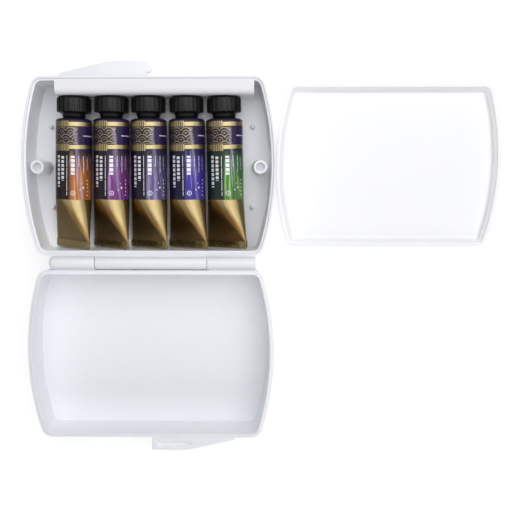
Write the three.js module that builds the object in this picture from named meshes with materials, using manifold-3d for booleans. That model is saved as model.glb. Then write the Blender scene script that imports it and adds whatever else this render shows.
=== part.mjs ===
// Watercolour paint box: a hinged plastic case with five paint tubes and a loose mixing tray.
// Lengths are millimetres. X runs along the hinge, Y towards the latch, Z up.
// The origin is the centre of the base's underside, and the lid lies open on the same table.
import * as THREE from "three";
import { mergeVertices } from "three/addons/utils/BufferGeometryUtils.js";
import Module from "manifold-3d";

const wasm = await Module();
wasm.setup();

const halfTurn = Math.PI;
const quarterTurn = Math.PI / 2;
const fullTurn = Math.PI * 2;

// Reach of a cutting shape past the face it cuts
const cutOverrun = 1;

// Paint tubes in a row; the case is sized round them
const tubeCount = 5;
const tubeRadius = 8.65;
const tubeGap = 0.8;
const tubePitch = 2 * tubeRadius + tubeGap;
const tubeRowShift = -0.7;
const tubeSeatGap = 0.1;
const tubeHeadroom = 2.8;
const tubeEndGap = 0.3;
const tubeWall = 0.35;

// Lengths along a tube, from the seam to the cap's end
const crimpLength = 3.4;
const tailLength = 20.7;
const bodyLength = 36.4;
const shoulderEdgeRise = 0.6;
const shoulderTopRise = 1.1;
const neckLength = 6.6;
const capSeatGap = 0.2;
const capCollarLength = 2.25;
const capGripLength = 7.35;

// Folded spacer strip between the tube caps and the front wall
const stripGap = 0.4;
const stripDepth = 7;
const stripRimGap = 0.1;
const stripThickness = 0.5;
const stripTopRadius = 2.8;
const stripFootRadius = 1.2;
const stripFootDepth = 4.6;
const stripLeftInset = 16.5;
const stripRightInset = 10.5;
const stripFloorGap = 0.05;
const stripFoldSegments = 6;

// Case walls, as insets from the rim's outer edge
const floorThickness = 1.8;
const undersideInset = 3.4;
const outerFootInset = 0.9;
const outerFootHeight = 3.2;
const lipWidth = 1.1;
const rimWidth = 2.1;
const stepDepth = 1;
const innerFootInset = 2.25;
const floorInset = 2.5;
const innerFootRise = 1.8;

// Case outline, shared by base and lid
const caseSideRoom = 14.45;
const caseWidth = tubeCount * tubePitch + 2 * caseSideRoom;
const caseBow = 6.65;
const caseCornerRadius = 5.5;
const capLength = capSeatGap + capCollarLength + capGripLength;
const tubeLength = crimpLength + tailLength + bodyLength + shoulderTopRise + capLength;
const stripPlace = stripGap + stripDepth + stripRimGap;
const caseDepth = floorInset + tubeEndGap + tubeLength + stripPlace + lipWidth;
const caseHeight = floorThickness + tubeSeatGap + 2 * tubeRadius + tubeHeadroom;

// Raised tongue of the lid's rim, which drops into the step of the base's rim
const tongueHeight = 0.7;
const tongueClearance = 0.3;

// Outline rounding
const bowSegments = 6;
const cornerSegments = 5;
const edgeSegments = 4;

// Posts and pins on the base's floor
const postInset = 7.3;
const postFootRadius = 3.4;
const postTopRadius = 3.15;
const postTopDrop = 0.4;
const postBoreRadius = 2.1;
const postBoreDepth = 5;
const pinEndInset = 10.6;
const pinSideInset = 22;
const pinFootRadius = 1.05;
const pinTopRadius = 0.7;
const pinHeight = 3;
const postSegments = 28;
const pinSegments = 12;

// Hinge along the back of the case
const hingeGap = 7.2;
const rimGap = 0.3;
const knuckleRadius = 3.05;
const knuckleGap = 0.3;
const knuckleEndRound = 2.2;
const hingeLeftInset = 11.7;
const hingeRightInset = 9.3;
const middleKnuckleLength = 53;
const middleKnuckleShift = 0.7;
const webDrop = 0.4;
const webFootDrop = 7.6;
const webSink = 0.8;
const rodRadius = 1.2;
const rodBoreRadius = 1.3;
const rodInset = 0.3;
const rodBlindWall = 1.4;
const knuckleSegments = 28;
const rodSegments = 20;

// Latch halves, mirrored about the middle of the front
const latchLength = 41;
const latchFlatLength = 17.6;
const latchReach = 6.5;
const latchTipReach = 1.2;
const latchThickness = 3.6;
const latchDrop = 0.4;
const latchSink = 0.9;
const latchEndGap = 0.15;
const latchCornerRun = 3;
const latchCornerSegments = 4;
const nubRadius = 1.65;
const nubReach = 0.3;
const nubOffset = 3.1;
const nubHeight = 2.6;
const nubDrop = 0.4;
const nubSegments = 20;

// Grip recess in the lid's latch half
const gripStart = 3;
const gripEnd = 20;
const gripTaperStart = 13.5;
const gripWidth = 2.3;
const gripOffset = 3.4;
const gripDepth = 1;
const gripSegments = 8;

// Mixing tray lying beside the base
const trayEndInset = 5.2;
const traySideInset = 2.5;
const trayWidth = caseWidth - 2 * trayEndInset;
const trayDepth = caseDepth - 2 * traySideInset;
const trayBow = 6.3;
const trayCornerRadius = 4.6;
const trayHeight = 5.4;
const trayFloorThickness = 1.2;
const trayUndersideInset = 2.6;
const trayOuterFootInset = 1.3;
const trayOuterFootHeight = 1.6;
const trayRimWidth = 1.8;
const trayInnerFootInset = 3;
const trayFloorInset = 4.4;
const trayInnerFootRise = 1.4;
const traySideGap = 1;
const trayShiftY = 0.8;

// Shoulder and flattened tail of a tube
const shoulderEdgeInset = 0.8;
const shoulderTopInset = 3.25;
const crimpWidth = 26.4;
const crimpThickness = 1;
const crimpCornerRadius = 0.9;
const crimpSink = 0.5;
const tailEndThickness = 0.9;
const crimpTilt = 0.768;
const flatTurn = 0.28;
const tailEase = 1.15;
const tailShares = [1, 0.8, 0.6, 0.4, 0.2, 0];
const cavityTailShares = [0.8, 0.6, 0.4, 0.2, 0];
const paintTailShares = [0.7, 0.4, 0.2, 0];
const paintGap = 0.3;
const paintTopGap = 1.2;
const coneSegments = 11;
const flatSegments = 3;
const crimpCornerSegments = 3;

// Small turns and shifts of the loose tubes, as they lie; turns are in radians
const tubeTurns = [-0.03, -0.02, -0.003, 0.009, 0.022];
const tubeShiftShares = [-0.25, -0.12, -0.12, 0.3, 0.5];

// Neck of a tube
const neckRadius = 4.1;
const neckChamfer = 0.5;
const neckBoreRadius = 2.5;
const neckSegments = 24;

// Screw cap with a ribbed grip and a narrow collar
const capGripInset = 0.55;
const capGrooveDepth = 0.35;
const capRibCount = 20;
const capRibShare = 0.62;
const capTopRound = 1;
const capTopInset = 0.9;
const capUndersideRound = 0.7;
const capUndersideInset = 1.1;
const capCollarRadius = 5.4;
const capCollarTopRadius = 6.1;
const capBoreRadius = 4.6;
const capRoof = 1.7;
const capSegments = 24;

// Materials
const casePlastic = new THREE.MeshStandardMaterial({ color: 0xf3f3f6, roughness: 0.35, metalness: 0 });
const trayPlastic = new THREE.MeshStandardMaterial({ color: 0xfbfbfc, roughness: 0.3, metalness: 0 });
const stripCard = new THREE.MeshStandardMaterial({ color: 0xefeff1, roughness: 0.75, metalness: 0 });
const rodSteel = new THREE.MeshStandardMaterial({ color: 0xb9bcc1, roughness: 0.3, metalness: 1 });
const tubeMetal = new THREE.MeshStandardMaterial({ color: 0xb8964f, roughness: 0.35, metalness: 0.85 });
const capPlastic = new THREE.MeshStandardMaterial({ color: 0x1b1c1f, roughness: 0.5, metalness: 0 });
const paintColours = [0xe8641b, 0x9c1f6b, 0x6f6484, 0x4a3fa0, 0x3e9a4f];

// Places along a tube and in the box, worked out from the lengths above
const crimpEnd = floorInset + tubeEndGap - caseDepth / 2;
const tubeTailEnd = crimpEnd + crimpLength;
const tubeTailStart = tubeTailEnd + tailLength;
const tubeBodyTop = tubeTailStart + bodyLength;
const tubeShoulderEdge = tubeBodyTop + shoulderEdgeRise;
const tubeShoulderTop = tubeBodyTop + shoulderTopRise;
const neckEnd = tubeShoulderTop + neckLength;
const capCollarStart = tubeShoulderTop + capSeatGap;
const capGripStart = capCollarStart + capCollarLength;
const capEnd = capGripStart + capGripLength;
const capBoreEnd = capEnd - capRoof;
const capGripRadius = tubeRadius - capGripInset;
const stripFront = capEnd + stripGap;
const stripBack = stripFront + stripDepth;
const stripLeft = stripLeftInset - caseWidth / 2;
const stripRight = caseWidth / 2 - stripRightInset;
const postTop = caseHeight - postTopDrop;
const hingeLeft = hingeLeftInset - caseWidth / 2;
const hingeRight = caseWidth / 2 - hingeRightInset;
const middleKnuckleLeft = middleKnuckleShift - middleKnuckleLength / 2;
const middleKnuckleRight = middleKnuckleShift + middleKnuckleLength / 2;
const hingeY = -(caseDepth + hingeGap) / 2;
const hingeZ = caseHeight + rimGap / 2;
const lidCentreY = 2 * hingeY;
const tubeSeatZ = floorThickness + tubeSeatGap;
const tubeAxisZ = tubeSeatZ + tubeRadius;
const seamRise = (crimpWidth / 2) * Math.sin(crimpTilt) + (crimpThickness / 2) * Math.cos(crimpTilt);
const seamZ = tubeSeatZ + seamRise;

// Turns a three.js geometry into a closed solid, by positions alone.
function solidFromGeometry(geometry) {
  const bare = new THREE.BufferGeometry();
  bare.setAttribute("position", geometry.getAttribute("position"));
  bare.setIndex(geometry.getIndex());
  const merged = mergeVertices(bare);
  const corners = merged.getIndex().array;
  const faces = [];
  for (let i = 0; i < corners.length; i += 3) {
    const [a, b, c] = corners.slice(i, i + 3);
    if (a !== b && b !== c && c !== a) faces.push(a, b, c);
  }
  return solidFromFaces(merged.getAttribute("position").array, faces);
}

function solidFromFaces(coordinates, faces) {
  const mesh = new wasm.Mesh({
    numProp: 3,
    vertProperties: new Float32Array(coordinates),
    triVerts: new Uint32Array(faces),
  });
  return new wasm.Manifold(mesh);
}

function geometryFromSolid(solid) {
  const mesh = solid.getMesh();
  const geometry = new THREE.BufferGeometry();
  geometry.setAttribute("position", new THREE.BufferAttribute(mesh.vertProperties, mesh.numProp));
  geometry.setIndex(new THREE.BufferAttribute(mesh.triVerts, 1));
  geometry.computeVertexNormals();
  return geometry;
}

function joined(solids) {
  return solids.reduce((whole, piece) => whole.add(piece));
}

// Skins closed loops of points stacked along an axis, each loop anticlockwise about it.
function stackedSolid(loops) {
  const count = loops[0].length;
  const points = loops.flat();
  const faces = [];
  for (let level = 0; level + 1 < loops.length; level += 1) {
    for (let k = 0; k < count; k += 1) {
      const next = (k + 1) % count;
      const low = level * count;
      const high = low + count;
      faces.push(low + k, low + next, high + next);
      faces.push(low + k, high + next, high + k);
    }
  }
  const lowCentre = points.push(loopCentre(loops[0])) - 1;
  const highCentre = points.push(loopCentre(loops[loops.length - 1])) - 1;
  const highLoop = (loops.length - 1) * count;
  for (let k = 0; k < count; k += 1) {
    const next = (k + 1) % count;
    faces.push(lowCentre, next, k);
    faces.push(highCentre, highLoop + k, highLoop + next);
  }
  return solidFromFaces(points.flatMap((point) => point.toArray()), faces);
}

function loopCentre(loop) {
  const sum = new THREE.Vector3();
  loop.forEach((point) => sum.add(point));
  return sum.divideScalar(loop.length);
}

// One level of a plan outline: straight long sides, bowed ends, rounded corners.
function planLoop(plan, inset, height) {
  const halfDepth = plan.depth / 2;
  const bowRadius = (halfDepth ** 2 + plan.bow ** 2) / (2 * plan.bow);
  const bowCentre = plan.width / 2 - bowRadius;
  const endRadius = bowRadius - inset;
  const cornerRadius = plan.cornerRadius - inset;
  const cornerY = halfDepth - plan.cornerRadius;
  const cornerX = bowCentre + Math.sqrt((endRadius - cornerRadius) ** 2 - cornerY ** 2);
  const tangent = Math.atan2(cornerY, cornerX - bowCentre);
  const quadrant = [];
  for (let i = 0; i <= bowSegments; i += 1) {
    const angle = (tangent * i) / bowSegments;
    quadrant.push([bowCentre + endRadius * Math.cos(angle), endRadius * Math.sin(angle)]);
  }
  for (let i = 1; i <= cornerSegments; i += 1) {
    const angle = tangent + ((quarterTurn - tangent) * i) / cornerSegments;
    quadrant.push([cornerX + cornerRadius * Math.cos(angle), cornerY + cornerRadius * Math.sin(angle)]);
  }
  const mirrored = quadrant.slice(1).reverse().map(([x, y]) => [-x, y]);
  const half = [...quadrant, ...mirrored];
  const whole = [...half, ...half.map(([x, y]) => [-x, -y])];
  return whole.map(([x, y]) => new THREE.Vector3(x, y, height));
}

function planSolid(plan, levels) {
  return stackedSolid(levels.map((level) => planLoop(plan, level.inset, level.height)));
}

// Levels of a rounded lower edge, from the flat face out to the wall's foot.
function roundedEdge(flatInset, wallInset, low, high) {
  const levels = [];
  for (let i = 0; i <= edgeSegments; i += 1) {
    const angle = (quarterTurn * i) / edgeSegments;
    levels.push({
      inset: wallInset + (flatInset - wallInset) * (1 - Math.sin(angle)),
      height: low + (high - low) * (1 - Math.cos(angle)),
    });
  }
  return levels;
}

// A round bar or cone along Z, standing on a height.
function standingRound(footRadius, topRadius, low, high, segments, x, y) {
  const geometry = new THREE.CylinderGeometry(topRadius, footRadius, high - low, segments);
  geometry.rotateX(quarterTurn);
  geometry.translate(x, y, (low + high) / 2);
  return solidFromGeometry(geometry);
}

// A round bar along X, on the hinge line.
function hingeBar(radius, left, right, segments) {
  const geometry = new THREE.CylinderGeometry(radius, radius, right - left, segments);
  geometry.rotateZ(quarterTurn);
  geometry.translate((left + right) / 2, hingeY, hingeZ);
  return solidFromGeometry(geometry);
}

// A body turned about the Y axis from radius and Y pairs that start and end on the axis.
function turnedBody(pairs, segments, height) {
  const profile = pairs.map(([radius, y]) => new THREE.Vector2(radius, y));
  const geometry = new THREE.LatheGeometry(profile, segments);
  geometry.translate(0, 0, height);
  return solidFromGeometry(geometry);
}

// A prism along X from Y and Z pairs.
function prismAlongX(pairs, left, right) {
  const shape = new THREE.Shape(pairs.map(([y, z]) => new THREE.Vector2(y, z)));
  const geometry = new THREE.ExtrudeGeometry(shape, { depth: right - left, bevelEnabled: false });
  const basis = new THREE.Matrix4().makeBasis(
    new THREE.Vector3(0, 1, 0),
    new THREE.Vector3(0, 0, 1),
    new THREE.Vector3(1, 0, 0),
  );
  geometry.applyMatrix4(basis);
  geometry.translate(left, 0, 0);
  return solidFromGeometry(geometry);
}

// A prism along Z from a plan shape.
function standingPrism(shape, low, high, curveSegments) {
  const settings = { depth: high - low, bevelEnabled: false, curveSegments };
  const geometry = new THREE.ExtrudeGeometry(shape, settings);
  geometry.translate(0, 0, low);
  return solidFromGeometry(geometry);
}

const casePlan = {
  width: caseWidth,
  depth: caseDepth,
  bow: caseBow,
  cornerRadius: caseCornerRadius,
};

function caseOuter() {
  const foot = roundedEdge(undersideInset, outerFootInset, 0, outerFootHeight);
  return planSolid(casePlan, [...foot, { inset: 0, height: caseHeight }]);
}

// The hollow of base or lid, up to a height.
function caseHollow(top) {
  const foot = roundedEdge(floorInset, innerFootInset, floorThickness, floorThickness + innerFootRise);
  return planSolid(casePlan, [...foot, { inset: rimWidth, height: top }]);
}

// Web that ties a knuckle to its wall; side is 1 for the base and -1 for the lid.
function knuckleWeb(side, left, right) {
  const wallY = hingeY + side * (hingeGap / 2 + webSink);
  const corners = [
    [hingeY, hingeZ - knuckleRadius],
    [wallY, caseHeight - webFootDrop],
    [wallY, caseHeight - webDrop],
    [hingeY, caseHeight - webDrop],
  ];
  return prismAlongX(side > 0 ? corners : corners.reverse(), left, right);
}

// Plan of a latch half: flat by the middle, tapering to its tip; side is -1 left or 1 right.
function latchShape(side, wallY, outward) {
  const reachY = wallY + outward * latchReach;
  const tipY = wallY + outward * latchTipReach;
  const rootY = wallY - outward * latchSink;
  const nearX = side * latchEndGap;
  const cornerX = side * latchFlatLength;
  const tipX = side * latchLength;
  const slope = (latchReach - latchTipReach) / (latchLength - latchFlatLength);
  const shape = new THREE.Shape();
  shape.moveTo(nearX, rootY);
  shape.lineTo(nearX, reachY);
  shape.lineTo(side * (latchFlatLength - latchCornerRun), reachY);
  shape.quadraticCurveTo(
    cornerX,
    reachY,
    side * (latchFlatLength + latchCornerRun),
    reachY - outward * slope * latchCornerRun,
  );
  shape.lineTo(tipX, tipY);
  shape.lineTo(tipX, rootY);
  shape.closePath();
  return shape;
}

function latchHalf(side, wallY, outward) {
  const top = caseHeight - latchDrop;
  return standingPrism(latchShape(side, wallY, outward), top - latchThickness, top, latchCornerSegments);
}

function latchNub() {
  const top = caseHeight - latchDrop - nubDrop;
  const y = caseDepth / 2 + nubOffset;
  return standingRound(nubRadius, nubRadius, top - nubHeight, top, nubSegments, nubReach, y);
}

function gripRecess() {
  const y = -caseDepth / 2 - gripOffset;
  const radius = gripWidth / 2;
  const shape = new THREE.Shape();
  shape.moveTo(gripTaperStart, y + radius);
  shape.lineTo(gripStart + radius, y + radius);
  shape.absarc(gripStart + radius, y, radius, quarterTurn, quarterTurn + halfTurn, false);
  shape.lineTo(gripTaperStart, y - radius);
  shape.quadraticCurveTo((gripTaperStart + gripEnd) / 2, y - radius, gripEnd, y);
  shape.quadraticCurveTo((gripTaperStart + gripEnd) / 2, y + radius, gripTaperStart, y + radius);
  const top = caseHeight - latchDrop;
  return standingPrism(shape, top - gripDepth, top + cutOverrun, gripSegments);
}

function basePost(side) {
  const x = side * (caseWidth / 2 - postInset);
  const low = floorThickness / 2;
  return standingRound(postFootRadius, postTopRadius, low, postTop, postSegments, x, 0);
}

function postBore(side) {
  const x = side * (caseWidth / 2 - postInset);
  const low = postTop - postBoreDepth;
  const top = postTop + cutOverrun;
  return standingRound(postBoreRadius, postBoreRadius, low, top, postSegments, x, 0);
}

function basePins() {
  const pins = [];
  for (const sideX of [-1, 1]) {
    for (const sideY of [-1, 1]) {
      const x = sideX * (caseWidth / 2 - pinEndInset);
      const y = sideY * (caseDepth / 2 - pinSideInset);
      const top = floorThickness + pinHeight;
      const low = floorThickness / 2;
      pins.push(standingRound(pinFootRadius, pinTopRadius, low, top, pinSegments, x, y));
    }
  }
  return joined(pins);
}

// Base: tray with a stepped rim, posts, pins, the middle knuckle and the left latch half.
function baseShell() {
  const step = planSolid(casePlan, [
    { inset: lipWidth, height: caseHeight - stepDepth },
    { inset: lipWidth, height: caseHeight + cutOverrun },
  ]);
  const shell = caseOuter().subtract(caseHollow(caseHeight + cutOverrun)).subtract(step);
  const hinge = joined([
    hingeBar(knuckleRadius, middleKnuckleLeft, middleKnuckleRight, knuckleSegments),
    knuckleWeb(1, middleKnuckleLeft, middleKnuckleRight),
  ]);
  const bore = hingeBar(
    rodBoreRadius,
    middleKnuckleLeft - cutOverrun,
    middleKnuckleRight + cutOverrun,
    rodSegments,
  );
  const latch = latchHalf(-1, caseDepth / 2, 1).add(latchNub());
  const posts = basePost(-1).add(basePost(1));
  const bores = postBore(-1).add(postBore(1));
  return joined([shell, hinge.subtract(bore), latch, posts, basePins()]).subtract(bores);
}

// The knuckle at the hinge's closed end, rounded like a thimble.
function roundedKnuckle(left, right) {
  const pairs = [[0, left]];
  for (let i = 1; i <= edgeSegments; i += 1) {
    const angle = (quarterTurn * i) / edgeSegments;
    const radius = knuckleRadius * Math.sin(angle);
    pairs.push([radius, left + knuckleEndRound * (1 - Math.cos(angle))]);
  }
  pairs.push([knuckleRadius, right], [0, right]);
  const profile = pairs.map(([radius, along]) => new THREE.Vector2(radius, along));
  const geometry = new THREE.LatheGeometry(profile, knuckleSegments);
  geometry.rotateZ(-quarterTurn);
  geometry.translate(0, hingeY, hingeZ);
  return solidFromGeometry(geometry);
}

function lidHinge() {
  const innerLeft = middleKnuckleLeft - knuckleGap;
  const innerRight = middleKnuckleRight + knuckleGap;
  const leftKnuckle = roundedKnuckle(hingeLeft, innerLeft);
  const leftWeb = knuckleWeb(-1, hingeLeft + knuckleEndRound, innerLeft);
  const rightKnuckle = hingeBar(knuckleRadius, innerRight, hingeRight, knuckleSegments);
  const rightWeb = knuckleWeb(-1, innerRight, hingeRight);
  const bore = hingeBar(rodBoreRadius, hingeLeft + rodBlindWall, hingeRight + cutOverrun, rodSegments);
  const left = leftKnuckle.add(leftWeb);
  const right = rightKnuckle.add(rightWeb);
  return [left.subtract(bore), right.subtract(bore)];
}

// Lid: tray with a tongue on its rim, the two end knuckles and the right latch half.
function lidShell() {
  const tongueTop = caseHeight + tongueHeight;
  const tongueInset = lipWidth + tongueClearance;
  const tongue = planSolid(casePlan, [
    { inset: tongueInset, height: caseHeight - stepDepth },
    { inset: tongueInset, height: tongueTop },
  ]);
  const shell = caseOuter().add(tongue).subtract(caseHollow(tongueTop + cutOverrun));
  const latch = latchHalf(1, -caseDepth / 2, -1).subtract(gripRecess());
  const lid = shell.add(latch).translate([0, lidCentreY, 0]);
  return joined([lid, ...lidHinge()]);
}

function hingeRod() {
  return hingeBar(rodRadius, hingeLeft + rodBlindWall + rodInset, hingeRight - rodInset, rodSegments);
}

// Arc of Y and Z pairs for a fold of the strip.
function foldArc(centreY, centreZ, radius, from, to) {
  const pairs = [];
  for (let i = 0; i <= stripFoldSegments; i += 1) {
    const angle = from + ((to - from) * i) / stripFoldSegments;
    pairs.push([centreY + radius * Math.cos(angle), centreZ + radius * Math.sin(angle)]);
  }
  return pairs;
}

// Spacer strip: one sheet folded into a channel, top flap on the rim's step, foot on the floor.
function spacerStrip() {
  const top = caseHeight - stepDepth + stripThickness;
  const low = floorThickness + stripFloorGap;
  const topY = stripFront + stripTopRadius;
  const topZ = top - stripTopRadius;
  const footY = stripFront + stripFootRadius;
  const footZ = low + stripFootRadius;
  const section = [
    [stripBack, top],
    ...foldArc(topY, topZ, stripTopRadius, quarterTurn, halfTurn),
    ...foldArc(footY, footZ, stripFootRadius, halfTurn, halfTurn + quarterTurn),
    [stripFront + stripFootDepth, low],
    [stripFront + stripFootDepth, low + stripThickness],
    ...foldArc(footY, footZ, stripFootRadius - stripThickness, halfTurn + quarterTurn, halfTurn),
    ...foldArc(topY, topZ, stripTopRadius - stripThickness, halfTurn, quarterTurn),
    [stripBack, top - stripThickness],
  ];
  return prismAlongX(section, stripLeft, stripRight);
}

const trayPlan = {
  width: trayWidth,
  depth: trayDepth,
  bow: trayBow,
  cornerRadius: trayCornerRadius,
};

// Mixing tray: shallow dish with the same bowed ends as the case.
function mixingTray() {
  const outerFoot = roundedEdge(trayUndersideInset, trayOuterFootInset, 0, trayOuterFootHeight);
  const outer = planSolid(trayPlan, [...outerFoot, { inset: 0, height: trayHeight }]);
  const innerFootTop = trayFloorThickness + trayInnerFootRise;
  const innerFoot = roundedEdge(trayFloorInset, trayInnerFootInset, trayFloorThickness, innerFootTop);
  const mouth = { inset: trayRimWidth, height: trayHeight + cutOverrun };
  return outer.subtract(planSolid(trayPlan, [...innerFoot, mouth]));
}

// Angle round the tube, and place on the seam from -1 left to 1 right, of a cross-section's points,
// which run anticlockwise about the Y axis.
function sectionStations() {
  const stations = [];
  const coneTurn = halfTurn - flatTurn;
  for (const side of [1, -1]) {
    const first = crimpTilt - side * quarterTurn + flatTurn / 2;
    for (let i = 0; i < coneSegments; i += 1) {
      stations.push({ angle: first + (coneTurn * i) / coneSegments, seamShare: side });
    }
    for (let i = 0; i < flatSegments; i += 1) {
      const share = i / flatSegments;
      stations.push({ angle: first + coneTurn + flatTurn * share, seamShare: side * (1 - 2 * share) });
    }
  }
  return stations.reverse();
}

// One cross-section of the tail, drawn in by an inset. Each is a round that is swept along a part of
// the seam, so its girth stays the same; share runs from 0 round to 1 flat.
function tubeLoop(share, y, inset) {
  const flatness = (1 - tailEndThickness / (2 * tubeRadius)) * share ** tailEase;
  const reach = tubeRadius * (1 - flatness) - inset;
  const height = tubeAxisZ + (seamZ - tubeAxisZ) * flatness;
  return sectionStations().map(({ angle, seamShare }) => {
    const along = ((seamShare * crimpWidth) / 2) * flatness;
    const x = along * Math.cos(crimpTilt) + reach * Math.cos(angle);
    const z = height + along * Math.sin(crimpTilt) + reach * Math.sin(angle);
    return new THREE.Vector3(x, y, z);
  });
}

function tailLoops(shares, inset) {
  return shares.map((share) => tubeLoop(share, tubeTailStart - tailLength * share, inset));
}

// The folded end seam: a flat bar across the tube, tilted with the tail.
function crimpBar() {
  const halfWidth = crimpWidth / 2;
  const shape = new THREE.Shape();
  shape.moveTo(-halfWidth, tubeTailEnd + crimpSink);
  shape.lineTo(-halfWidth, crimpEnd + crimpCornerRadius);
  shape.quadraticCurveTo(-halfWidth, crimpEnd, -halfWidth + crimpCornerRadius, crimpEnd);
  shape.lineTo(halfWidth - crimpCornerRadius, crimpEnd);
  shape.quadraticCurveTo(halfWidth, crimpEnd, halfWidth, crimpEnd + crimpCornerRadius);
  shape.lineTo(halfWidth, tubeTailEnd + crimpSink);
  shape.closePath();
  const settings = { depth: crimpThickness, bevelEnabled: false, curveSegments: crimpCornerSegments };
  const geometry = new THREE.ExtrudeGeometry(shape, settings);
  geometry.translate(0, 0, -crimpThickness / 2);
  geometry.rotateY(-crimpTilt);
  geometry.translate(0, 0, seamZ);
  return solidFromGeometry(geometry);
}

function roundTubeLoop(radius, y) {
  return tubeLoop(0, y, tubeRadius - radius);
}

// Tube: round metal body flattened to a tilted seam, with a shoulder and an open neck.
function tubeShell() {
  const body = stackedSolid([
    ...tailLoops(tailShares, 0),
    roundTubeLoop(tubeRadius, tubeBodyTop),
    roundTubeLoop(tubeRadius - shoulderEdgeInset, tubeShoulderEdge),
    roundTubeLoop(tubeRadius - shoulderTopInset, tubeShoulderTop),
  ]);
  const neck = turnedBody(
    [
      [0, tubeBodyTop],
      [neckRadius, tubeBodyTop],
      [neckRadius, neckEnd - neckChamfer],
      [neckRadius - neckChamfer, neckEnd],
      [0, neckEnd],
    ],
    neckSegments,
    tubeAxisZ,
  );
  const cavity = stackedSolid([
    ...tailLoops(cavityTailShares, tubeWall),
    roundTubeLoop(tubeRadius - tubeWall, tubeBodyTop - tubeWall),
  ]);
  const bore = turnedBody(
    [
      [0, tubeBodyTop - cutOverrun],
      [neckBoreRadius, tubeBodyTop - cutOverrun],
      [neckBoreRadius, neckEnd + cutOverrun],
      [0, neckEnd + cutOverrun],
    ],
    neckSegments,
    tubeAxisZ,
  );
  return joined([body, crimpBar(), neck]).subtract(cavity).subtract(bore);
}

// Paint inside a tube, filling it to just under the shoulder.
function paintFill() {
  const inset = tubeWall + paintGap;
  return stackedSolid([
    ...tailLoops(paintTailShares, inset),
    roundTubeLoop(tubeRadius - inset, tubeBodyTop - paintTopGap),
  ]);
}

// Outline of the ribbed grip about the Y axis, drawn in by an inset.
function gripLoop(inset, y) {
  const loop = [];
  const ribTurn = fullTurn / capRibCount;
  for (let rib = 0; rib < capRibCount; rib += 1) {
    const corners = [
      [rib * ribTurn, capGripRadius],
      [(rib + capRibShare) * ribTurn, capGripRadius],
      [(rib + (1 + capRibShare) / 2) * ribTurn, capGripRadius - capGrooveDepth],
    ];
    for (const [angle, radius] of corners) {
      const reach = radius - inset;
      loop.push(new THREE.Vector3(reach * Math.sin(angle), y, tubeAxisZ + reach * Math.cos(angle)));
    }
  }
  return loop;
}

// Cap: ribbed grip, narrow collar and a blind bore for the neck.
function screwCap() {
  const grip = stackedSolid([
    gripLoop(capUndersideInset, capGripStart),
    gripLoop(0, capGripStart + capUndersideRound),
    gripLoop(0, capEnd - capTopRound),
    gripLoop(capTopInset, capEnd),
  ]);
  const collar = turnedBody(
    [
      [0, capCollarStart],
      [capCollarRadius, capCollarStart],
      [capCollarTopRadius, capGripStart],
      [capCollarTopRadius, capGripStart + capUndersideRound],
      [0, capGripStart + capUndersideRound],
    ],
    capSegments,
    tubeAxisZ,
  );
  const bore = turnedBody(
    [
      [0, capCollarStart - cutOverrun],
      [capBoreRadius, capCollarStart - cutOverrun],
      [capBoreRadius, capBoreEnd],
      [0, capBoreEnd],
    ],
    capSegments,
    tubeAxisZ,
  );
  return grip.add(collar).subtract(bore);
}

function addPiece(parent, name, geometry, material) {
  const mesh = new THREE.Mesh(geometry, material);
  mesh.name = name;
  parent.add(mesh);
  return mesh;
}

const paintBox = new THREE.Group();
paintBox.name = "paint_box";
addPiece(paintBox, "base_shell", geometryFromSolid(baseShell()), casePlastic);
addPiece(paintBox, "lid_shell", geometryFromSolid(lidShell()), casePlastic);
addPiece(paintBox, "hinge_rod", geometryFromSolid(hingeRod()), rodSteel);
addPiece(paintBox, "spacer_strip", geometryFromSolid(spacerStrip()), stripCard);

const tray = addPiece(paintBox, "mixing_tray", geometryFromSolid(mixingTray()), trayPlastic);
tray.position.set((caseWidth + trayWidth) / 2 + traySideGap, trayShiftY, 0);

const tubeGeometry = geometryFromSolid(tubeShell());
const capGeometry = geometryFromSolid(screwCap());
const paintGeometry = geometryFromSolid(paintFill());
paintColours.forEach((color, index) => {
  const number = index + 1;
  const tube = new THREE.Group();
  tube.name = `paint_tube_${number}`;
  const row = tubePitch * (index - (tubeCount - 1) / 2);
  tube.position.x = tubeRowShift + row + tubeGap * tubeShiftShares[index];
  tube.rotation.z = tubeTurns[index];
  const paint = new THREE.MeshStandardMaterial({ color, roughness: 0.4, metalness: 0 });
  addPiece(tube, `tube_${number}`, tubeGeometry, tubeMetal);
  addPiece(tube, `cap_${number}`, capGeometry, capPlastic);
  addPiece(tube, `paint_${number}`, paintGeometry, paint);
  paintBox.add(tube);
});

export default paintBox;
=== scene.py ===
# %% [markdown]
# # A watercolour paint box, open on a table
#
# The box is a hinged case of white plastic. The base holds five paint tubes behind a folded spacer strip.
# The lid lies open in front, and a shallow mixing tray lies beside the base.
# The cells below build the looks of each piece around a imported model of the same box, in the same frame.
# Lengths are written in millimetres and turned into metres where a mesh is made.

import math

import bpy
from mathutils import Matrix, Vector


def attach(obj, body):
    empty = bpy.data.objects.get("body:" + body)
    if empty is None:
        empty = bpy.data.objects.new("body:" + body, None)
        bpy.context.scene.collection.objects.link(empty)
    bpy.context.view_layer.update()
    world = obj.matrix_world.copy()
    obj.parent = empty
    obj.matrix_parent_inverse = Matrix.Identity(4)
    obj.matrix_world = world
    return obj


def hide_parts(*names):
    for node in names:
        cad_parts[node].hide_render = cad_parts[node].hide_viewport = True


MM = 0.001
QUARTER = math.pi / 2
FULL = math.pi * 2
ALONG_X = Matrix.Rotation(QUARTER, 4, "Y")
ALONG_Y = Matrix.Rotation(-QUARTER, 4, "X")

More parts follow.
